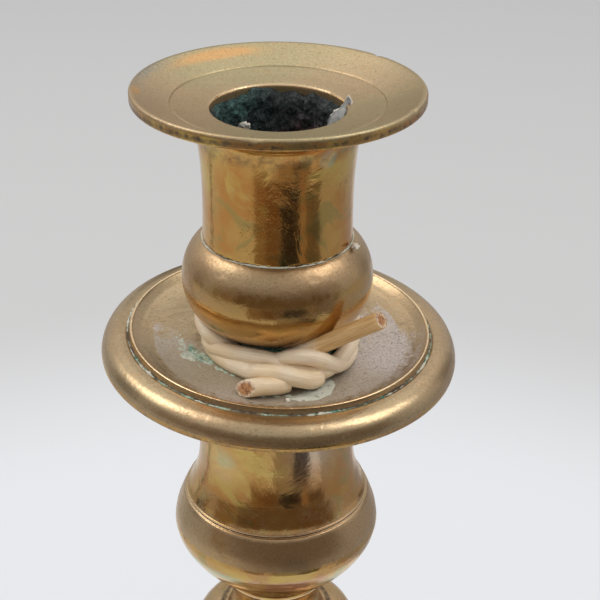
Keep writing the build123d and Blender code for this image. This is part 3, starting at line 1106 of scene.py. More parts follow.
class CANDLESTICK_OT_nozzle(PieceOperator):
    """Build the candle socket: dished flange and waisted tube"""

    bl_idname = "candlestick.nozzle"
    bl_label = "Candle socket"

    def build(self):
        bore, flange = 11.5, 24.9
        outline = (
            run([(bore, -32.2), (bore, -4.2)], 0.9)
            + curve([(bore, -4.2), (11.65, -3.82), (12.1, -3.62), (15.0, -3.2), (18.05, -2.6)], 0.95)
            + run([(18.16, -2.74), (18.3, -2.48)], 0.95)
            + curve([(18.5, -2.38), (20.6, -1.52), (22.4, -0.72), (23.3, -0.3), (23.9, -0.04)], 0.95)
            + run([(24.3, 0.0), (24.66, -0.04)], 0.85)
            + run(
                [
                    (24.84, -0.3),
                    (flange, -0.5),
                    (flange, -1.1),
                    (flange, -1.75),
                    (24.6, -2.1),
                    (21.9, -2.35),
                ],
                0.12,
            )
            + curve(
                [
                    (21.9, -2.35),
                    (18.6, -3.2),
                    (16.4, -4.45),
                    (14.9, -6.05),
                    (14.2, -7.5),
                    (13.8, -9.2),
                    (13.46, -12),
                ],
                0.06,
            )
            + curve([(13.46, -12), (13.2, -16), (13.1, -20)], 0.06)
            + curve([(13.1, -20), (13.15, -24), (13.22, -26.4), (13.25, KNOP_SEAM)], 0.08)
            + run([(12.6, KNOP_SEAM), (12.6, -32.2), (bore, -32.2)], 0.9)
        )
        piece = turned(
            "candle_nozzle",
            outline,
            brass("brass_socket"),
            crevices=[(13.3, KNOP_SEAM, 0.22, 0.5)],
            # Rubbed bare colour on the bore's lip; on the flange's top edge the bare colour is partly wear
            # and partly a painted highlight.
            worn=[(11.62, -3.85, 0.22, 1.1), (24.7, -0.12, 0.2, 0.3)],
            # The mark on the flange's outer edge paints a dark reflection in dirt colour; the others darken
            # the step in the dish, the top of the bore, and the underside and foot of the flange.
            soil=[
                (18.18, -2.75, 0.12, 0.5), (bore, -7.5, 2.6, 1.0), (15.6, -5.2, 1.2, 0.25),
                (flange + 0.1, -1.25, 0.95, 0.56), (23.2, -2.4, 1.5, 0.5),
            ],
            softness=0.3,
        )
        paint(
            piece,
            orange=lambda p: on_arc(p, 125, 26, 22.2, 1.4) + on_arc(p, 187, 5, 23.6, 0.8),
            ash=lambda p: on_arc(p, 164, 15, 24.0, 1.1),
            pitted=lambda p: 0.34 * near_spot(p, (-8.0, -11.0, -20.0), 5.0) + 0.3 * near_spot(
                p, (11, -8, -14), 4.0
            ),
            tinted=lambda p: 1.4 * near_spot(p, (8.6, -11.4, -8.6), 1.6),
        )
        dent(piece, (17.6, 17.6, TOP), 0.6, (-0.35, -0.35, -0.2))
        dent(piece, (-3.0, -24.6, TOP), 0.9, (0, 0.25, -0.2))
        dent(piece, (22.0, -11.5, TOP), 0.7, (-0.2, 0.15, -0.15))
        keep(piece, "nozzle", "aged_brass", "candle_nozzle")


class CANDLESTICK_OT_knop(PieceOperator):
    """Build the bulb under the tube, its neck and its screwed shank"""

    bl_idname = "candlestick.knop"
    bl_label = "Nozzle knop"

    def build(self):
        equator, centre_r, reach = -34.8, 10.0, 7.1
        seam_angle = math.degrees(math.acos((13.25 - centre_r) / reach))
        upper = (KNOP_SEAM - equator) / math.sin(math.radians(seam_angle))
        shank_r, pitch, thread_depth = 5.0, 1.5, 0.7
        outline = (
            run([(0, -34.5), (12.65, -34.5), (12.65, KNOP_SEAM), (13.25, KNOP_SEAM)], 0.9)
            + arc((centre_r, equator), (reach, upper), seam_angle, 40, 0.95, steps=6)
            + arc((centre_r, equator), (reach, upper), 36, 24, 0.55, steps=4)
            + arc((centre_r, equator), (reach, upper), 20, 0, 0.34, steps=5)
            + arc((centre_r, equator), (reach, 9.0), -3, -20, 0.24, steps=5)
            + arc((centre_r, equator), (reach, 9.0), -22, -86, 0.3)
            + run([(10.5, -46.7), (shank_r, -46.7)], 0.5)
            + run([(shank_r, SHANK_FOOT), (0, SHANK_FOOT)], 0.4)
        )
        piece = turned(
            "nozzle_knop",
            outline,
            brass("brass_knop"),
            crevices=[(13.4, KNOP_SEAM, 0.3, 0.5), (10.9, -43.6, 1.0, 1.3), (10.6, -46.0, 1.8, 1.5)],
            soil=[(13.5, KNOP_SEAM - 0.1, 0.3, 0.45), (11.4, -42.9, 0.5, 0.4)],
            softness=0.3,
        )

        def cut_thread(p):
            radius = math.hypot(p.x, p.y)
            height = p.z - TOP
            if radius < shank_r - 0.4 or radius > shank_r + 0.2 or not SHANK_FOOT < height < -47.4:
                return p
            phase = (height / pitch - math.atan2(p.y, p.x) / math.tau) % 1.0
            depth = thread_depth * min(1.0, abs(2 * phase - 1) * 1.5)
            fade = min(1.0, (height - SHANK_FOOT) / pitch, (-47.4 - height) / pitch)
            share = (radius - depth * fade) / radius
            return Vector((p.x * share, p.y * share, p.z))

        moved(piece, cut_thread)
        dent(piece, (-8.8, -12.4, TOP - 29.3), 0.35, (0.05, 0.08, -0.14))
        dent(piece, (-9.5, -12.2, TOP - 29.6), 0.25, (0.05, 0.08, -0.12))
        dent(piece, (6.2, -13.8, TOP - 29.2), 0.4, (-0.03, 0.08, -0.14))
        dent(piece, (7.2, -13.4, TOP - 29.4), 0.28, (-0.03, 0.08, -0.12))
        keep(piece, "nozzle", "aged_brass", "nozzle_knop")


def socket_lining(material):
    """Wax, soot and verdigris that line the socket and cover its bottom."""
    around, lip, floor, wall = 220, -4.9, -29.5, 11.46
    profile = []
    steps = 62
    for i in range(steps + 1):
        t = i / steps
        profile.append((wall, lip + (floor - lip) * t, 0.5 + 0.9 * t, 1.0))
    for i in range(1, 15):
        t = i / 15
        profile.append((wall * (1 - t), floor - 0.6 * t, 1.8 * (1 - t) ** 2, 1 - t))
    rows = [
        [(12.55, -34.35)] * around,
        [(12.55, -32.4)] * around,
        [(wall, -32.35)] * around,
        [(wall, lip)] * around,
    ]
    vertices, teal, haze, burnt = [], [], [], []
    for row in rows:
        for k, (r, z) in enumerate(row):
            angle = math.tau * k / around
            ragged = 1.3 * rough(
                (math.cos(angle) * 5, math.sin(angle) * 5, 0), 4, 1.5, 3
            ) if z == lip else 0.0
            vertices.append(Vector((r * math.cos(angle), r * math.sin(angle), z + ragged)))
    for r, z, thick, share in profile[1:]:
        for k in range(around):
            angle = math.tau * k / around
            p = Vector((r * math.cos(angle), r * math.sin(angle), z))
            lumps = rough(p, 11, 1.5, 5)
            fur = abs(rough(p, 12, 0.6, 6))
            inwards = max(0.1, thick * (0.7 + 0.6 * lumps) + 0.9 * fur) * share
            inwards *= min(1.0, (lip - z) / 1.2)
            rise = (1 - share) * (1.0 * lumps + 0.4 * fur) if share < 1 else 0.0
            radius = max(0.05, r - inwards)
            ragged = 1.3 * rough((math.cos(angle) * 5, math.sin(angle) * 5, 0), 4, 1.5, 3)
            sink = ragged * math.exp(-(lip - z) / 2.0)
            vertices.append(Vector((radius * math.cos(angle), radius * math.sin(angle), z + rise + sink)))
    count = len(vertices) // around
    for v in vertices:
        bearing = math.degrees(math.atan2(v.y, v.x))
        shallow = math.exp(-max(0.0, -7.0 - v.z) / 6.0)
        teal.append(
            shallow * math.exp(-(((bearing - 140) / 42) ** 2)) + 0.3 * math.exp(
                -(((bearing - 70) / 30) ** 2)
            )
        )
        haze.append(math.exp(-(((bearing - 62) / 34) ** 2)) * math.exp(-(((v.z + 10.0) / 5.5) ** 2)))
        burnt.append(math.exp(-(((bearing - 58) / 26) ** 2)) * math.exp(-(((v.z + 13.5) / 3.5) ** 2)) * 1.2)
    faces = []
    for row in range(count - 1):
        for k in range(around):
            m = (k + 1) % around
            faces.append(
                (row * around + k, row * around + m, (row + 1) * around + m, (row + 1) * around + k)
            )
    for row, hub in ((0, Vector((0, 0, -34.35))), (count - 1, Vector((0, 0, floor - 0.5)))):
        vertices.append(hub)
        teal.append(0.0)
        haze.append(0.0)
        burnt.append(0.0)
        faces += [
            (row * around + k, row * around + (k + 1) % around, len(vertices) - 1) for k in range(around)
        ]
    values = {"teal": teal, "haze": haze, "burnt": burnt}
    return closed_mesh("socket_lining", placed(vertices), faces, values, material)


def wax_flake(name, spine, width, thickness, material, seed):
    """A thin curled chip of wax along a spine, wide across it."""
    path = smooth_path(spine, 0.22)
    across = 14
    frames = tube_frames(path)
    upper, lower, edge = [], [], []
    count = len(path)
    for i, (centre, (_, _, ahead)) in enumerate(zip(path, frames)):
        outwards = Vector((centre.x, centre.y, 0)).normalized()
        sideways = ahead.cross(outwards).normalized()
        normal = sideways.cross(ahead).normalized()
        taper = min(1.0, 0.35 + 2.2 * math.sin(math.pi * (i + 0.6) / (count + 0.2)))
        for k in range(across + 1):
            t = 2 * k / across - 1
            ragged = 1 + 0.35 * rough(centre + sideways * t * 2, seed, 1.4, 4)
            p = centre + sideways * t * width * taper * ragged
            p += normal * (0.25 * rough(p, seed + 1, 1.5, 4) + 0.35 * t * t)
            half = thickness * (0.5 - 0.32 * abs(t) ** 3)
            upper.append(p + normal * half)
            lower.append(p - normal * half)
            edge.append(max(abs(t) ** 4, 1.0 - min(1.0, i / 3.0), 1.0 - min(1.0, (count - 1 - i) / 3.0)))
    row = across + 1
    vertices, total = upper + lower, len(upper)
    faces = []
    for i in range(count - 1):
        for k in range(across):
            a, b, c, d = i * row + k, i * row + k + 1, (i + 1) * row + k + 1, (i + 1) * row + k
            faces += [(a, b, c, d), (total + a, total + d, total + c, total + b)]
        for k in (0, across):
            a, d = i * row + k, (i + 1) * row + k
            faces.append((a, d, total + d, total + a))
    for i in (0, count - 1):
        for k in range(across):
            a, b = i * row + k, i * row + k + 1
            faces.append((a, b, total + b, total + a))
    values = {"edge": [float(e) for e in edge + edge]}
    return closed_mesh(name, placed(vertices), faces, values, material)


def crumb(name, centre, size, material, seed, stretch=(1, 1, 1)):
    """A small broken lump."""
    shape = bmesh.new()
    bmesh.ops.create_icosphere(shape, subdivisions=4, radius=1.0)
    for vertex in shape.verts:
        direction = vertex.co.copy()
        lump = 1 + 0.55 * rough(direction, seed, 0.9, 4)
        vertex.co = (
            AT_TOP @ (Vector(centre) + Vector(d * s * size * lump for d, s in zip(direction, stretch)))
        ) * MM
    mesh = bpy.data.meshes.new(name)
    shape.to_mesh(mesh)
    shape.free()
    count = len(mesh.vertices)
    store(mesh, {"edge": [1.0] * count, "wax": [0.9] * count})
    mesh.shade_smooth()
    mesh.materials.append(material)
    outward(mesh)
    return linked(name, mesh)


class CANDLESTICK_OT_wax(PieceOperator):
    """Build the old wax, soot and growth in the socket and along the seam under the tube"""

    bl_idname = "candlestick.wax"
    bl_label = "Wax and dirt"

    def build(self):
        lining = socket_lining(shared("socket_dirt", bore_dirt_material))
        keep(lining, "nozzle", "old_wax", "wax_residue")
        wax = shared("grey_wax", wax_material)
        flake = wax_flake(
            "wax_flake",
            [
                (8.5, 3.2, -8.6), (9.2, 2.9, -7.4), (9.9, 2.5, -6.2), (10.6, 2.1, -5.2), (11.2, 1.8, -4.5),
                (11.8, 1.5, -4.1), (12.4, 1.3, -4.1),
            ],
            1.7,
            0.26,
            wax,
            21,
        )
        keep(flake, "nozzle", "old_wax")
        keep(crumb("wax_crumb", (-6.0, 8.2, -10.5), 0.9, wax, 31, (1, 0.8, 1.1)), "nozzle", "old_wax")
        growth = shared("thick_verdigris", growth_material)
        line = ring_path(13.3, height=KNOP_SEAM + 0.03, step=0.8)
        seam = crust_strip("seam_crust", line, 0.13, 0.13, growth, 41, 1.0, patchy=0.75, closed=True)
        keep(seam, "nozzle", "aged_brass")
        chip = crumb("seam_chip", (13.5, -4.9, KNOP_SEAM + 0.15), 0.72, wax, 43, (0.9, 1.2, 0.5))
        keep(chip, "nozzle", "aged_brass")


class CANDLESTICK_OT_pan(PieceOperator):
    """Build the drip pan: a leaning dish with a thin ridge, a groove and a broad rim, on a level hub"""

    bl_idname = "candlestick.pan"
    bl_label = "Drip pan"

    def build(self):
        ridge, wall_foot, rim = 27.03, 21.9, 32.42
        floor_wall, hub_hole = 1.7, 8.2
        under = -PAN_FLOOR_DROP - floor_wall
        outline = (
            run([(hub_hole, under), (hub_hole, -PAN_FLOOR_DROP)], 0.6)
            + run([(wall_foot - 0.9, -PAN_FLOOR_DROP)], 0.9, 1.0)
            + curve([(wall_foot, -1.98), (22.9, -1.86)], 0.85, 1.0)
            + curve([(23.4, -1.78), (23.9, -1.68), (24.6, -1.4)], 0.8, 0.5)
            + curve([(24.6, -1.4), (25.4, -1.12), (26.5, -0.38), (26.86, 0.0)], 0.8, 0.36)
            + run([(27.05, 0.04), (27.24, -0.02)], 0.3)
            + run([(27.45, -0.95), (27.75, -1.18)], 0.8)
            + curve(
                [(28.1, -1.02), (29.3, -1.06), (30.5, -1.38), (31.5, -2.15), (32.12, -3.2), (32.36, -4.0)],
                0.95,
                0.08,
            )
            + curve([(32.4, -4.3), (rim, -4.6), (32.3, -5.15), (31.9, -5.5)], 0.25)
            + curve([(31.75, -5.62), (31.5, -5.74), (30.6, -5.84)], 0.3)
            + run([(29.9, -5.6), (29.4, -5.0)], 0.3)
            + curve([(29.4, -5.0), (28.2, -3.9), (26.0, -3.6), (23.3, under)], 0.3)
            + run([(hub_hole, under)], 0.3)
        )
        dish = turned(
            "drip_pan",
            outline,
            brass("brass_pan"),
            crevices=[(27.6, -1.15, 0.3, 0.45), (12.4, -2.05, 2.6, 0.75)],
            worn=[(ridge, 0.05, 0.2, 1.1), (31.72, -5.68, 0.16, 1.3)],
            soil=[(27.55, -1.1, 0.4, 0.7), (32.45, -4.9, 0.55, 0.4), (27.3, -0.5, 0.3, 0.3)],
            softness=0.22,
            matrix=pan_matrix(),
            crust=0.5,
        )
        hub_top, hub_foot = -46.8, -49.8
        hub = turned(
            "pan_hub",
            run([(5.3, hub_foot), (14.4, hub_foot), (14.4, hub_foot + 1.3), (12.2, hub_foot + 1.3)], 0.5)
            + run([(12.2, hub_top), (5.3, hub_top), (5.3, hub_foot)], 0.8, 0.6),
            brass("brass_pan"),
            crevices=[(12.3, hub_top, 0.8, 0.8)],
            softness=0.3,
        )
        for vertex, mark in zip(dish.data.vertices, dish.data.attributes["bloom"].data):
            mark.value *= frost_here(vertex.co / MM)
        piece = joined("drip_pan", [dish, hub])
        keep(piece, "pan", "aged_brass", "drip_pan")


def frost_here(p):
    """Bloom lies thickest at the front of the pan and thins out to the left and the back."""
    bearing = math.degrees(math.atan2(p.y, p.x))
    away = abs((bearing + 74 + 180) % 360 - 180)
    reach = 102 if p.xy.length < 22.6 else 78
    ragged = 0.5 * rough(p, 15, 6.0, 3)
    return min(1.0, max(0.12, 1.35 - (away / reach) ** 3 + ragged))


def on_pan(x, y):
    """Height of the pan's floor, counted from the flange."""
    return PAN_RIDGE - PAN_FLOOR_DROP + PAN_LEAN[0] * (x - PAN_SHIFT) + PAN_LEAN[1] * y


class CANDLESTICK_OT_growth(PieceOperator):
    """Build the verdigris in the pan's groove, round the neck and on the floor of the pan"""

    bl_idname = "candlestick.growth"
    bl_label = "Verdigris"

    def build(self):
        growth = shared("thick_verdigris", growth_material)
        arcs = ((160, 196), (197, 224), (238, 262), (264, 296), (-60, -37), (-34, -6))
        for number, (start, end) in enumerate(arcs):
            path = ring_path(27.66, start, end, 0.7, -1.16, drift=0.05, seed=number)
            name = f"groove_crust_{number + 1}"
            strip = crust_strip(name, path, 0.15, 0.15, growth, 51 + number, 1.0, pan_matrix(), 0.95)
            keep(strip, "pan", "aged_brass")
        smears = (
            ("floor_growth_left", 16.3, 196, 248, 0.85, 0.3, 0.15, 0.25),
            ("floor_haze_left", 18.0, 176, 232, 0.8, 0.12, 0.75, 0.5),
            ("floor_growth_front", 20.6, 254, 282, 0.9, 0.2, 0.7, 0.4),
            ("neck_growth", 12.4, 200, 330, 1.3, 0.75, 0.0, 0.15),
        )
        neck_reach, neck_level = 14, -44.9
        for number, (name, radius, start, end, width, height, wax, patchy) in enumerate(smears):
            path = ring_path(radius, start, end, 1.0, 0, drift=0.5, seed=7 + number)
            for point in path:
                point.z = on_pan(point.x, point.y) if radius > neck_reach else neck_level
            keep(
                crust_strip(name, path, width, height, growth, 61 + number, wax, AT_TOP, patchy),
                "pan",
                "aged_brass",
            )
        points = ((2.2, -21.6), (5.2, -20.6), (7.6, -18.6), (9.0, -16.2), (9.2, -14.0))
        path = smooth_path([(x, y, on_pan(x, y)) for x, y in points], 0.25)
        flake = crust_strip("green_wax_flake", path, 2.0, 0.34, growth, 71, 0.9, patchy=0.15, lumpy=0.3)
        keep(flake, "pan", "old_wax")
        wax = shared("grey_wax", wax_material)
        keep(crumb("pan_crumb", (2.3, -22.0, on_pan(2.3, -22) + 0.25), 0.38, wax, 81), "pan", "old_wax")


class CANDLESTICK_OT_cane(PieceOperator):
    """Build the cane wound round the neck: two laid turns, a front lump, a stub and a tail"""

    bl_idname = "candlestick.cane"
    bl_label = "Cane packing"

    def build(self):
        cane = shared("cane_skin", cane_material)
        turns = [
            (-7.0, -8.6, -45.6), (-8.6, -9.0, -44.9), (-10.4, -8.6, -44.1), (-11.9, -7.2, -43.4),
            (-13.0, -4.8, -43.0), (-13.5, -1.0, -43.0), (-13.0, 3.4, -43.1), (-11.2, 7.4, -43.4),
            (-7.8, 10.6, -43.7), (-2.8, 12.5, -43.9), (2.8, 12.5, -43.9), (7.8, 10.5, -43.8),
            (11.3, 7.0, -43.7), (13.1, 2.6, -43.6), (13.6, -1.6, -43.5), (13.6, -4.6, -43.6),
            (13.4, -7.6, -43.9), (12.4, -10.6, -44.5), (11.0, -13.0, -45.2), (9.0, -15.0, -45.8),
            (6.8, -16.2, -45.9), (4.3, -16.3, -45.6), (1.6, -15.5, -45.0), (-0.6, -14.6, -44.5),
            (-3.4, -13.8, -44.3), (-6.2, -12.6, -44.5), (-8.8, -10.9, -44.9), (-10.9, -8.6, -45.5),
            (-12.0, -5.2, -45.9), (-12.2, 0.2, -45.9), (-11.2, 5.0, -45.7), (-7.8, 9.5, -45.5),
            (-2.6, 11.9, -45.4), (3.4, 11.8, -45.4), (8.5, 9.0, -45.5), (11.8, 4.2, -45.7),
            (12.7, -1.0, -46.0), (13.1, -5.2, -46.2), (13.1, -8.2, -46.3), (12.2, -11.0, -46.3),
            (11.0, -13.4, -45.8), (9.6, -15.2, -44.7), (7.7, -16.0, -43.4), (5.1, -16.1, -42.8),
            (2.8, -15.6, -43.3), (1.0, -14.6, -44.4), (-0.4, -13.0, -45.4),
        ]
        front = [
            (-11.9, -3.6, -46.4), (-11.4, -6.6, -46.5), (-9.8, -9.8, -46.6), (-7.6, -12.4, -46.6),
            (-5.3, -14.4, -46.5), (-3.7, -15.9, -46.2), (-2.6, -17.2, -45.4), (-0.7, -18.1, -44.9),
            (1.7, -18.9, -44.8), (4.2, -19.3, -45.2), (6.2, -18.5, -46.0), (7.5, -16.9, -46.5),
        ]
        tail = [
            (1.5, -12.9, -45.2), (3.6, -13.5, -44.0), (5.9, -13.9, -42.6), (9.6, -14.2, -40.6),
            (14.0, -14.4, -38.2), (17.9, -14.6, -36.2),
        ]
        stub = [(-4.9, -21.2, -46.2), (-2.4, -20.5, -46.2), (0.2, -20.0, -46.3), (2.2, -18.9, -46.5)]

        # Painted shade where the cane lies on the pan floor, darkest at its lowest points.
        def low(p):
            return 0.9 * math.exp(-max(0.0, p.z - TOP + 47.4) / 0.5)

        # Painted shade under the bulb's overhang, together with the shade on the pan floor.
        def painted_contact_shade(p):
            bulb_shadow = math.exp(-max(0.0, math.hypot(p.x, p.y) - 11.0) / 1.6)
            return max(low(p), 0.8 * bulb_shadow)

        square = ((0, 0, 0), (0, 0, 0))
        # Each strand's fifth entry is its rule of painted shade.
        strands = (
            ("cane_turns", turns, 1.46, lambda p: 0.12, painted_contact_shade, square, 1.0),
            ("cane_front", front, 1.6, lambda p: 0.05, painted_contact_shade, square, 2.0),
            (
                "cane_tail",
                tail,
                1.6,
                lambda p: (p.x - 4.5) / 3.0,
                lambda p: 0.0,
                ((0, 0, 0), (0, 0.35, -0.2)),
                3.0,
            ),
            ("cane_stub", stub, 1.62, lambda p: 0.15, low, ((0.0, -0.75, 0.45), (0, 0, 0)), 4.0),
        )
        made = [
            cane_strand(
                name,
                [Vector(p) + Vector((0, 0, TOP)) for p in points],
                radius,
                tan,
                dirt,
                slants,
                cane,
                seed,
            )
            for name, points, radius, tan, dirt, slants, seed in strands
        ]
        for piece in made[1:]:
            keep(piece, "pan", "cane")
        keep(made[0], "pan", "cane", "cane_tie")


class CANDLESTICK_OT_stem(PieceOperator):
    """Build the upper stem: waisted collar, large knop with a scribed line, neck"""

    bl_idname = "candlestick.stem"
    bl_label = "Upper stem"

    def build(self):
        hole, rod_hole = 5.08, 4.05
        outline = (
            run([(0, -66), (hole, -66), (hole, STEM_TOP), (13.8, STEM_TOP)], 0.7)
            + run([(15.6, STEM_TOP - 1.4), (15.6, STEM_TOP - 2.6)], 0.5)
            + curve([(15.1, -54.0), (14.6, -57), (14.5, -60), (14.55, -68), (14.83, -73), (15.35, -76)], 0.1)
            + curve([(15.35, -76), (16.5, -79), (17.26, -80.3)], 0.24)
            + run([(17.42, -80.36), (17.5, -80.62), (17.28, -80.76), (17.34, -81.0)], 0.5)
            + curve([(17.72, -81.16), (18.2, -82), (19.35, -85), (19.8, -87.2)], 0.6)
            + curve(
                [(19.8, -87.2), (19.8, -88.4), (19.07, -91), (17.3, -94), (15.2, -96.5), (13.1, -98.5)], 0.24
            )
            + curve([(13.1, -98.5), (11.0, -100.4), (10.4, -101.4)], 0.25)
            + run([(10.4, -102.1), (9.6, -102.6)], 0.3)
            + curve([(9.6, -102.6), (8.7, -106.4), (9.2, -109.8), (10.1, STEM_FOOT)], 0.3)
            + run([(rod_hole, STEM_FOOT), (rod_hole, -79), (0, -79)], 0.7)
        )
        piece = turned(
            "upper_stem",
            outline,
            brass("brass_stem"),
            crevices=[(14.4, STEM_TOP - 0.1, 1.0, 0.8)],
            # Painted highlight and shade on the scribed line: bright bare colour along its upper and lower
            # edges, dark colour in the groove between them. The other marks brighten the step at the neck
            # and darken the top of the waisted collar and the neck.
            worn=[(17.48, -80.5, 0.13, 1.6), (17.72, -81.2, 0.1, 0.6), (10.4, -102.0, 0.25, 0.7)],
            soil=[(17.3, -80.88, 0.14, 0.9), (14.7, -55.5, 1.6, 0.5), (9.5, -102.9, 0.9, 0.5)],
            softness=0.1,
        )
        paint(
            piece,
            lilac=lambda p: on_arc(p, -60, 20, 14.6, 3.0) * near_level(p, -62.0, 7.0),
            tinted=lambda p: 1.3 * near_level(p, -91.6, 1.7) * (p.y < 4) + 0.6 * near_spot(
                p, (-9.5, -11.5, -69), 4.5
            ),
            pitted=lambda p: 0.3 * near_spot(p, (1.5, -14.6, -63.0), 5.0),
        )
        keep(piece, "root", "aged_brass", "upper_stem")


class CANDLESTICK_OT_lower(PieceOperator):
    """Build the lower sections: bead, baluster, ring, trumpet collar and base"""

    bl_idname = "candlestick.lower"
    bl_label = "Lower sections"

    def build(self):
        metal = brass("brass_stem")
        rod = 4.3
        bead_middle = (STEM_FOOT + BEAD_FOOT) / 2
        bead_half = (STEM_FOOT - BEAD_FOOT) / 2
        bead = turned(
            "neck_bead",
            run([(rod, STEM_FOOT), (11.2, STEM_FOOT)], 0.6)
            + arc((10.9, bead_middle), (5.9, bead_half - 0.15), 86, -86, 0.5, steps=22)
            + run([(11.2, BEAD_FOOT), (rod, BEAD_FOOT), (rod, STEM_FOOT)], 0.6),
            metal,
            crevices=[(11.0, BEAD_FOOT, 0.8, 0.5)],
            soil=[(11.0, STEM_FOOT, 0.8, 0.6)],
            worn=[(12.6, STEM_FOOT - 0.4, 0.3, 0.35)],
        )
        keep(bead, "root", "aged_brass", "neck_bead")
        z = BEAD_FOOT
        core = 5.5
        baluster = turned(
            "baluster",
            run([(core, BALUSTER_FOOT), (core, z), (10.2, z), (10.2, z - 1.6)], 0.5)
            + curve(
                [
                    (10.0, z - 1.9), (8.2, z - 7), (8.9, z - 12.5), (11.2, z - 18), (14.6, z - 25.5), (
                        16.4, z - 32
                    ),
                    (15.9, z - 39), (14.0, z - 46), (
                        11.4, z - 54
                    ), (9.6, z - 62), (8.8, z - 69), (8.9, z - 73),
                    (10.2, z - 77.5), (11.6, BALUSTER_FOOT + 2),
                ],
                0.4,
            )
            + run([(11.6, BALUSTER_FOOT), (core, BALUSTER_FOOT)], 0.5),
            metal,
            crevices=[(10.4, z - 1.0, 0.7, 0.4), (11.8, BALUSTER_FOOT + 0.3, 0.5, 0.5)],
            soil=[(9.8, z - 2.2, 0.8, 0.6)],
        )
        keep(baluster, "root", "aged_brass", "baluster")
        ring_middle, ring_half = (BALUSTER_FOOT + RING_FOOT) / 2, (BALUSTER_FOOT - RING_FOOT) / 2
        ring = turned(
            "lower_ring",
            run([(rod, BALUSTER_FOOT), (12.0, BALUSTER_FOOT)], 0.6)
            + arc((11.6, ring_middle), (3.4, ring_half - 0.1), 84, -84, 0.6, steps=18)
            + run([(12.0, RING_FOOT), (rod, RING_FOOT), (rod, BALUSTER_FOOT)], 0.6),
            metal,
            crevices=[(11.9, BALUSTER_FOOT, 0.4, 0.5), (11.9, RING_FOOT, 0.5, 0.5)],
        )
        keep(ring, "root", "aged_brass", "lower_ring")
        z = RING_FOOT
        collar = turned(
            "foot_collar",
            run([(core, COLLAR_FOOT), (core, z), (10.8, z), (10.8, z - 1.0)], 0.6)
            + curve(
                [
                    (10.75, z - 1.2), (11.0, z - 3.5), (11.9, z - 6.6), (13.6, z - 9.2), (16.6, z - 10.9),
                    (20.2, COLLAR_FOOT + 1.5),
                ],
                0.65,
            )
            + run([(21.0, COLLAR_FOOT + 1.3), (21.0, COLLAR_FOOT), (core, COLLAR_FOOT)], 0.7),
            metal,
            crevices=[(21.2, COLLAR_FOOT + 0.1, 0.4, 0.6), (10.9, z - 0.6, 0.6, 0.4)],
            worn=[(20.9, COLLAR_FOOT + 1.35, 0.3, 0.5)],
        )
        keep(collar, "root", "aged_brass", "foot_collar")
        self.build_base(metal, rod)

    def build_base(self, metal, rod):
        """The hollow dome of the base."""
        z = BASE_FOOT
        height = COLLAR_FOOT - BASE_FOOT
        wall = 2.6
        outline = (
            run([(rod, z + height), (23.0, z + height), (23.0, z + height - 1.2)], 0.8)
            + curve(
                [
                    (23.8, z + height - 1.9), (26.6, z + height - 2.9), (30.0, z + height - 5.0), (
                        36.0, z + 22.7
                    ),
                    (41.0, z + 17.8), (45.6, z + 13.7), (50.0, z + 10.9), (53.8, z + 9.3),
                ],
                0.8,
            )
            + run([(54.2, z + 8.75), (54.5, z + 9.15), (56.6, z + 9.1), (56.6, z + 8.1)], 0.7)
            + curve(
                [(57.2, z + 7.9), (59.2, z + 7.1), (60.9, z + 5.5), (61.8, z + 3.6), (BASE_R, z + 2.0)], 0.8
            )
            + run([(BASE_R, z), (57.0, z), (57.0, z + 3.4)], 0.4)
            + curve(
                [
                    (54.5, z + 9.0 - wall),
                    (49.0, z + 10.9 - wall),
                    (39.2, z + 17.8 - wall),
                    (27.5, z + height - 7.6),
                ],
                0.3,
            )
            + run([(21.0, z + height - 4.5), (rod, z + height - 4.5), (rod, z + height)], 0.4)
        )
        base = turned(
            "base_dome",
            outline,
            metal,
            crevices=[
                (22.9, z + height - 0.1, 0.5, 0.6), (23.6, z + height - 1.9, 0.6, 0.45), (
                    54.2, z + 8.8, 0.45, 0.55
                ),
                (56.8, z + 8.0, 0.5, 0.5),
            ],
            worn=[
                (23.0, z + height - 0.1, 0.3, 0.5), (56.5, z + 9.1, 0.3, 0.7), (BASE_R, z + 1.6, 0.5, 0.4)
            ],
            soil=[(54.2, z + 8.8, 0.6, 0.7), (57.0, z + 7.9, 0.6, 0.5)],
            softness=0.4,
        )
        keep(base, "root", "aged_brass", "base_dome")


class CANDLESTICK_OT_iron(PieceOperator):
    """Finish the iron rod, washer and nut inside the stack"""

    bl_idname = "candlestick.iron"
    bl_label = "Iron fastening"

    def build(self):
        iron = shared("rusty_iron", iron_material)
        for name in ("tie_rod", "base_washer", "base_nut"):
            for slot in frame["nodes"][name].material_slots:
                slot.material = iron


# ---- stage -------------------------------------------------------------------------------------


SENSOR_WIDTH = 36.0
FLOOR_HALF = 6.0


def glow(name, rgb):
    """A plain glowing material for the reflection cards."""
    material = bpy.data.materials.new(name)
    material.use_nodes = True
    tree = material.node_tree
    tree.nodes.clear()
    light = put(tree, "ShaderNodeEmission", {"Color": (*rgb, 1), "Strength": 1.0})
    end = put(tree, "ShaderNodeOutputMaterial")
    tree.links.new(light.outputs[0], end.inputs[0])
    return material


def only_reflected(card):
    """A card that only shiny surfaces see."""
    card.visible_camera = card.visible_diffuse = card.visible_shadow = card.visible_transmission = False


def bent_card(name, start, end, steps, edges, rgb):
    """A curved card between two edges of (radius, height), angles in degrees from the front to the right."""
    vertices = []
    for i in range(steps + 1):
        angle = math.radians(start + (end - start) * i / steps)
        for radius, height in edges:
            vertices.append((math.sin(angle) * radius * MM, -math.cos(angle) * radius * MM, height * MM))
    faces = [(2 * i, 2 * i + 1, 2 * i + 3, 2 * i + 2) for i in range(steps)]
    mesh = bpy.data.meshes.new(name)
    mesh.from_pydata(vertices, [], faces)
    mesh.materials.append(glow(name, rgb))
    card = linked(name, mesh)
    only_reflected(card)


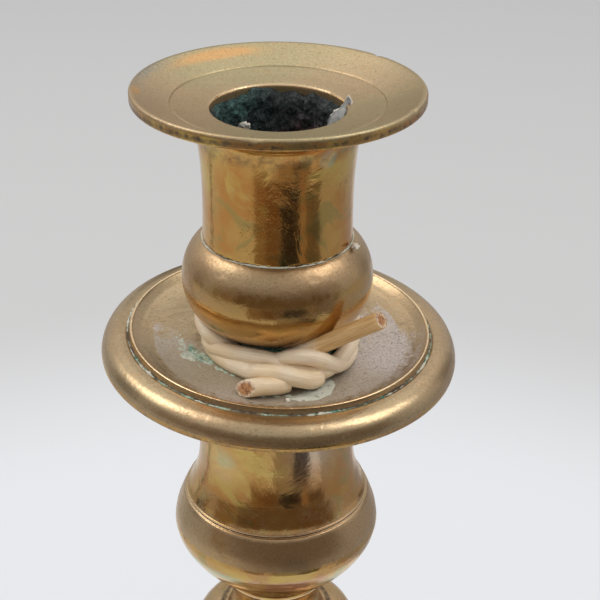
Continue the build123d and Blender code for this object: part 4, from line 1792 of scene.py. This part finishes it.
def soft_light(name, place, size, power, target=(0, 0, 0.2), tint=(1, 1, 1)):
    """A square area light that faces the object."""
    data = bpy.data.lights.new(name, "AREA")
    data.shape = "SQUARE"
    data.size = size
    data.energy = power
    data.color = tint
    light = bpy.data.objects.new(name, data)
    bpy.context.scene.collection.objects.link(light)
    light.location = place
    light.rotation_euler = (Vector(target) - Vector(place)).to_track_quat("-Z", "Y").to_euler()


class CANDLESTICK_OT_stage(PieceOperator):
    """Set the floor, the soft lights, the reflection cards and the camera"""

    bl_idname = "candlestick.stage"
    bl_label = "Stage"

    def build(self):
        stage = bpy.context.scene.candlestick_stage
        self.build_floor(stage)
        self.build_light(stage)
        self.build_camera(stage)

    def build_floor(self, stage):
        """A large pale sheet, with a painted pool of light round the object."""
        mesh = bpy.data.meshes.new("floor")
        half = FLOOR_HALF
        mesh.from_pydata(
            [(-half, -half, 0), (half, -half, 0), (half, half, 0), (-half, half, 0)], [], [(0, 1, 2, 3)]
        )
        material, tree, shader, place = new_material("pale_paper")
        fibres = cloud(tree, place, 900.0, 2.0)
        tone_here = stage.floor_tone
        spot = put(tree, "ShaderNodeSeparateXYZ", {0: place}).outputs
        across = [times(tree, spot[axis], spot[axis]) for axis in (0, 1)]
        radius = maths(tree, "SQRT", plus(tree, *across))
        # Painted pool of light: the floor colour brightens within about 0.25 to 0.42 m of the axis.
        painted_light_pool = fit(tree, fibres, -0.03, ramp(tree, radius, 0.42, 0.25))
        bright = tuple(tone_here * share for share in (1.27, 1.30, 1.345))
        tree.links.new(
            mixed(tree, painted_light_pool, (tone_here, tone_here, tone_here), bright), shader.inputs["Base Color"]
        )
        shader.inputs["Roughness"].default_value = 0.95
        shader.inputs["Specular IOR Level"].default_value = 0.1
        mesh.materials.append(material)
        linked("floor", mesh)

    def build_light(self, stage):
        """Even surroundings, soft lights above, and cards that the brass mirrors."""
        world = bpy.data.worlds.new("studio")
        world.use_nodes = True
        back = world.node_tree.nodes["Background"]
        back.inputs["Color"].default_value = (0.985, 0.99, 1.0, 1)
        back.inputs["Strength"].default_value = stage.sky
        bpy.context.scene.world = world
        soft_light("overhead", (0.0, 0.95, 1.6), 1.7, 5.0, (0, 0.95, 0))
        soft_light("left_window", (-0.75, 0.15, 1.15), 0.62, 4.8, tint=(1.0, 0.97, 0.94))
        soft_light("right_window", (0.7, -0.05, 1.2), 0.62, 4.5, tint=(1.0, 0.97, 0.95))
        floor_cards = (
            ("card_olive", -34, -17, 350, 1100, (0.26, 0.19, 0.13)),
            ("card_brown", -17, 4.5, 372, 1100, (0.17, 0.11, 0.07)),
            ("card_black", 5, 35, 380, 1100, (0.025, 0.025, 0.03)),
            ("card_small_black", 25, 50, 240, 352, (0.012, 0.012, 0.015)),
            ("card_low_middle", -2, 26, 258, 352, (0.34, 0.30, 0.26)),
            ("card_orange", 36, 44, 366, 1100, (0.36, 0.27, 0.20)),
            ("card_dark_right", 44, 67, 385, 1100, (0.14, 0.12, 0.10)),
            ("card_grey_right", 67, 150, 150, 1100, (0.42, 0.42, 0.44)),
            ("card_dark_line", -119, -115, 200, 1100, (0.10, 0.08, 0.07)),
        )
        strip = (0.14, 0.13, 0.12)
        wall_cards = (
            ("room_front", -50, 75, 1250, 820, (0.16, 0.12, 0.09)),
            ("room_left", -78, -51, 1250, 700, (0.26, 0.20, 0.15)),
            ("room_left_strip", -110, -92, 1350, 900, strip),
            ("room_right_strip", 118, 134, 1350, 900, strip),
            ("room_back_strip", 172, 196, 1350, 900, strip),
        )
        lift, floor_steps, wall_steps = 0.8, 12, 16
        for name, start, end, near, far, rgb in floor_cards:
            bent_card(name, start, end, floor_steps, ((near, lift), (far, lift)), rgb)
        for name, start, end, radius, height, rgb in wall_cards:
            bent_card(name, start, end, wall_steps, ((radius, 0), (radius, height)), rgb)

    def build_camera(self, stage):
        """Camera above and in front, looking down on the socket."""
        data = bpy.data.cameras.new("camera")
        data.lens = stage.lens
        data.sensor_width = SENSOR_WIDTH
        camera = bpy.data.objects.new("camera", data)
        bpy.context.scene.collection.objects.link(camera)
        turn = Matrix.Rotation(math.radians(90) - stage.pitch, 4, "X") @ Matrix.Rotation(stage.roll, 4, "Z")
        camera.matrix_world = Matrix.Translation(Vector((4.1, -207.2, TOP + 71)) * MM) @ turn
        bpy.context.scene.camera = camera
        bpy.context.scene.view_settings.view_transform = "Standard"


# ---- panel and registration --------------------------------------------------------------------

PIECES = (
    CANDLESTICK_OT_nozzle,
    CANDLESTICK_OT_knop,
    CANDLESTICK_OT_wax,
    CANDLESTICK_OT_pan,
    CANDLESTICK_OT_growth,
    CANDLESTICK_OT_cane,
    CANDLESTICK_OT_stem,
    CANDLESTICK_OT_lower,
    CANDLESTICK_OT_iron,
    CANDLESTICK_OT_stage,
)


class CANDLESTICK_PT_panel(bpy.types.Panel):
    """Buttons and settings of the candlestick."""

    bl_idname = "CANDLESTICK_PT_panel"
    bl_label = "Old brass candlestick"
    bl_space_type = "VIEW_3D"
    bl_region_type = "UI"
    bl_category = "Candlestick"

    def draw(self, context):
        scene = context.scene
        for settings in (scene.candlestick_turning, scene.candlestick_finish, scene.candlestick_stage):
            box = self.layout.box()
            for key in settings.__annotations__:
                box.prop(settings, key)
        for operator in PIECES:
            self.layout.operator(operator.bl_idname)


SETTINGS = {
    "candlestick_turning": CandlestickTurning,
    "candlestick_finish": CandlestickFinish,
    "candlestick_stage": CandlestickStage,
}


def register():
    """Register the settings, operators and panel."""
    for name, settings in SETTINGS.items():
        bpy.utils.register_class(settings)
        setattr(bpy.types.Scene, name, PointerProperty(type=settings))
    for operator in PIECES:
        bpy.utils.register_class(operator)
    bpy.utils.register_class(CANDLESTICK_PT_panel)


def unregister():
    """Take everything back."""
    bpy.utils.unregister_class(CANDLESTICK_PT_panel)
    for operator in reversed(PIECES):
        bpy.utils.unregister_class(operator)
    for name, settings in SETTINGS.items():
        delattr(bpy.types.Scene, name)
        bpy.utils.unregister_class(settings)


def main():
    """Register, make the shader groups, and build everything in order."""
    register()
    turning_marks()
    small_pits()
    heat_tints()
    copper_growth()
    for operator in PIECES:
        group, name = operator.bl_idname.split(".")
        getattr(getattr(bpy.ops, group), name)()
    bpy.context.view_layer.update()


if __name__ == "__main__":
    main()
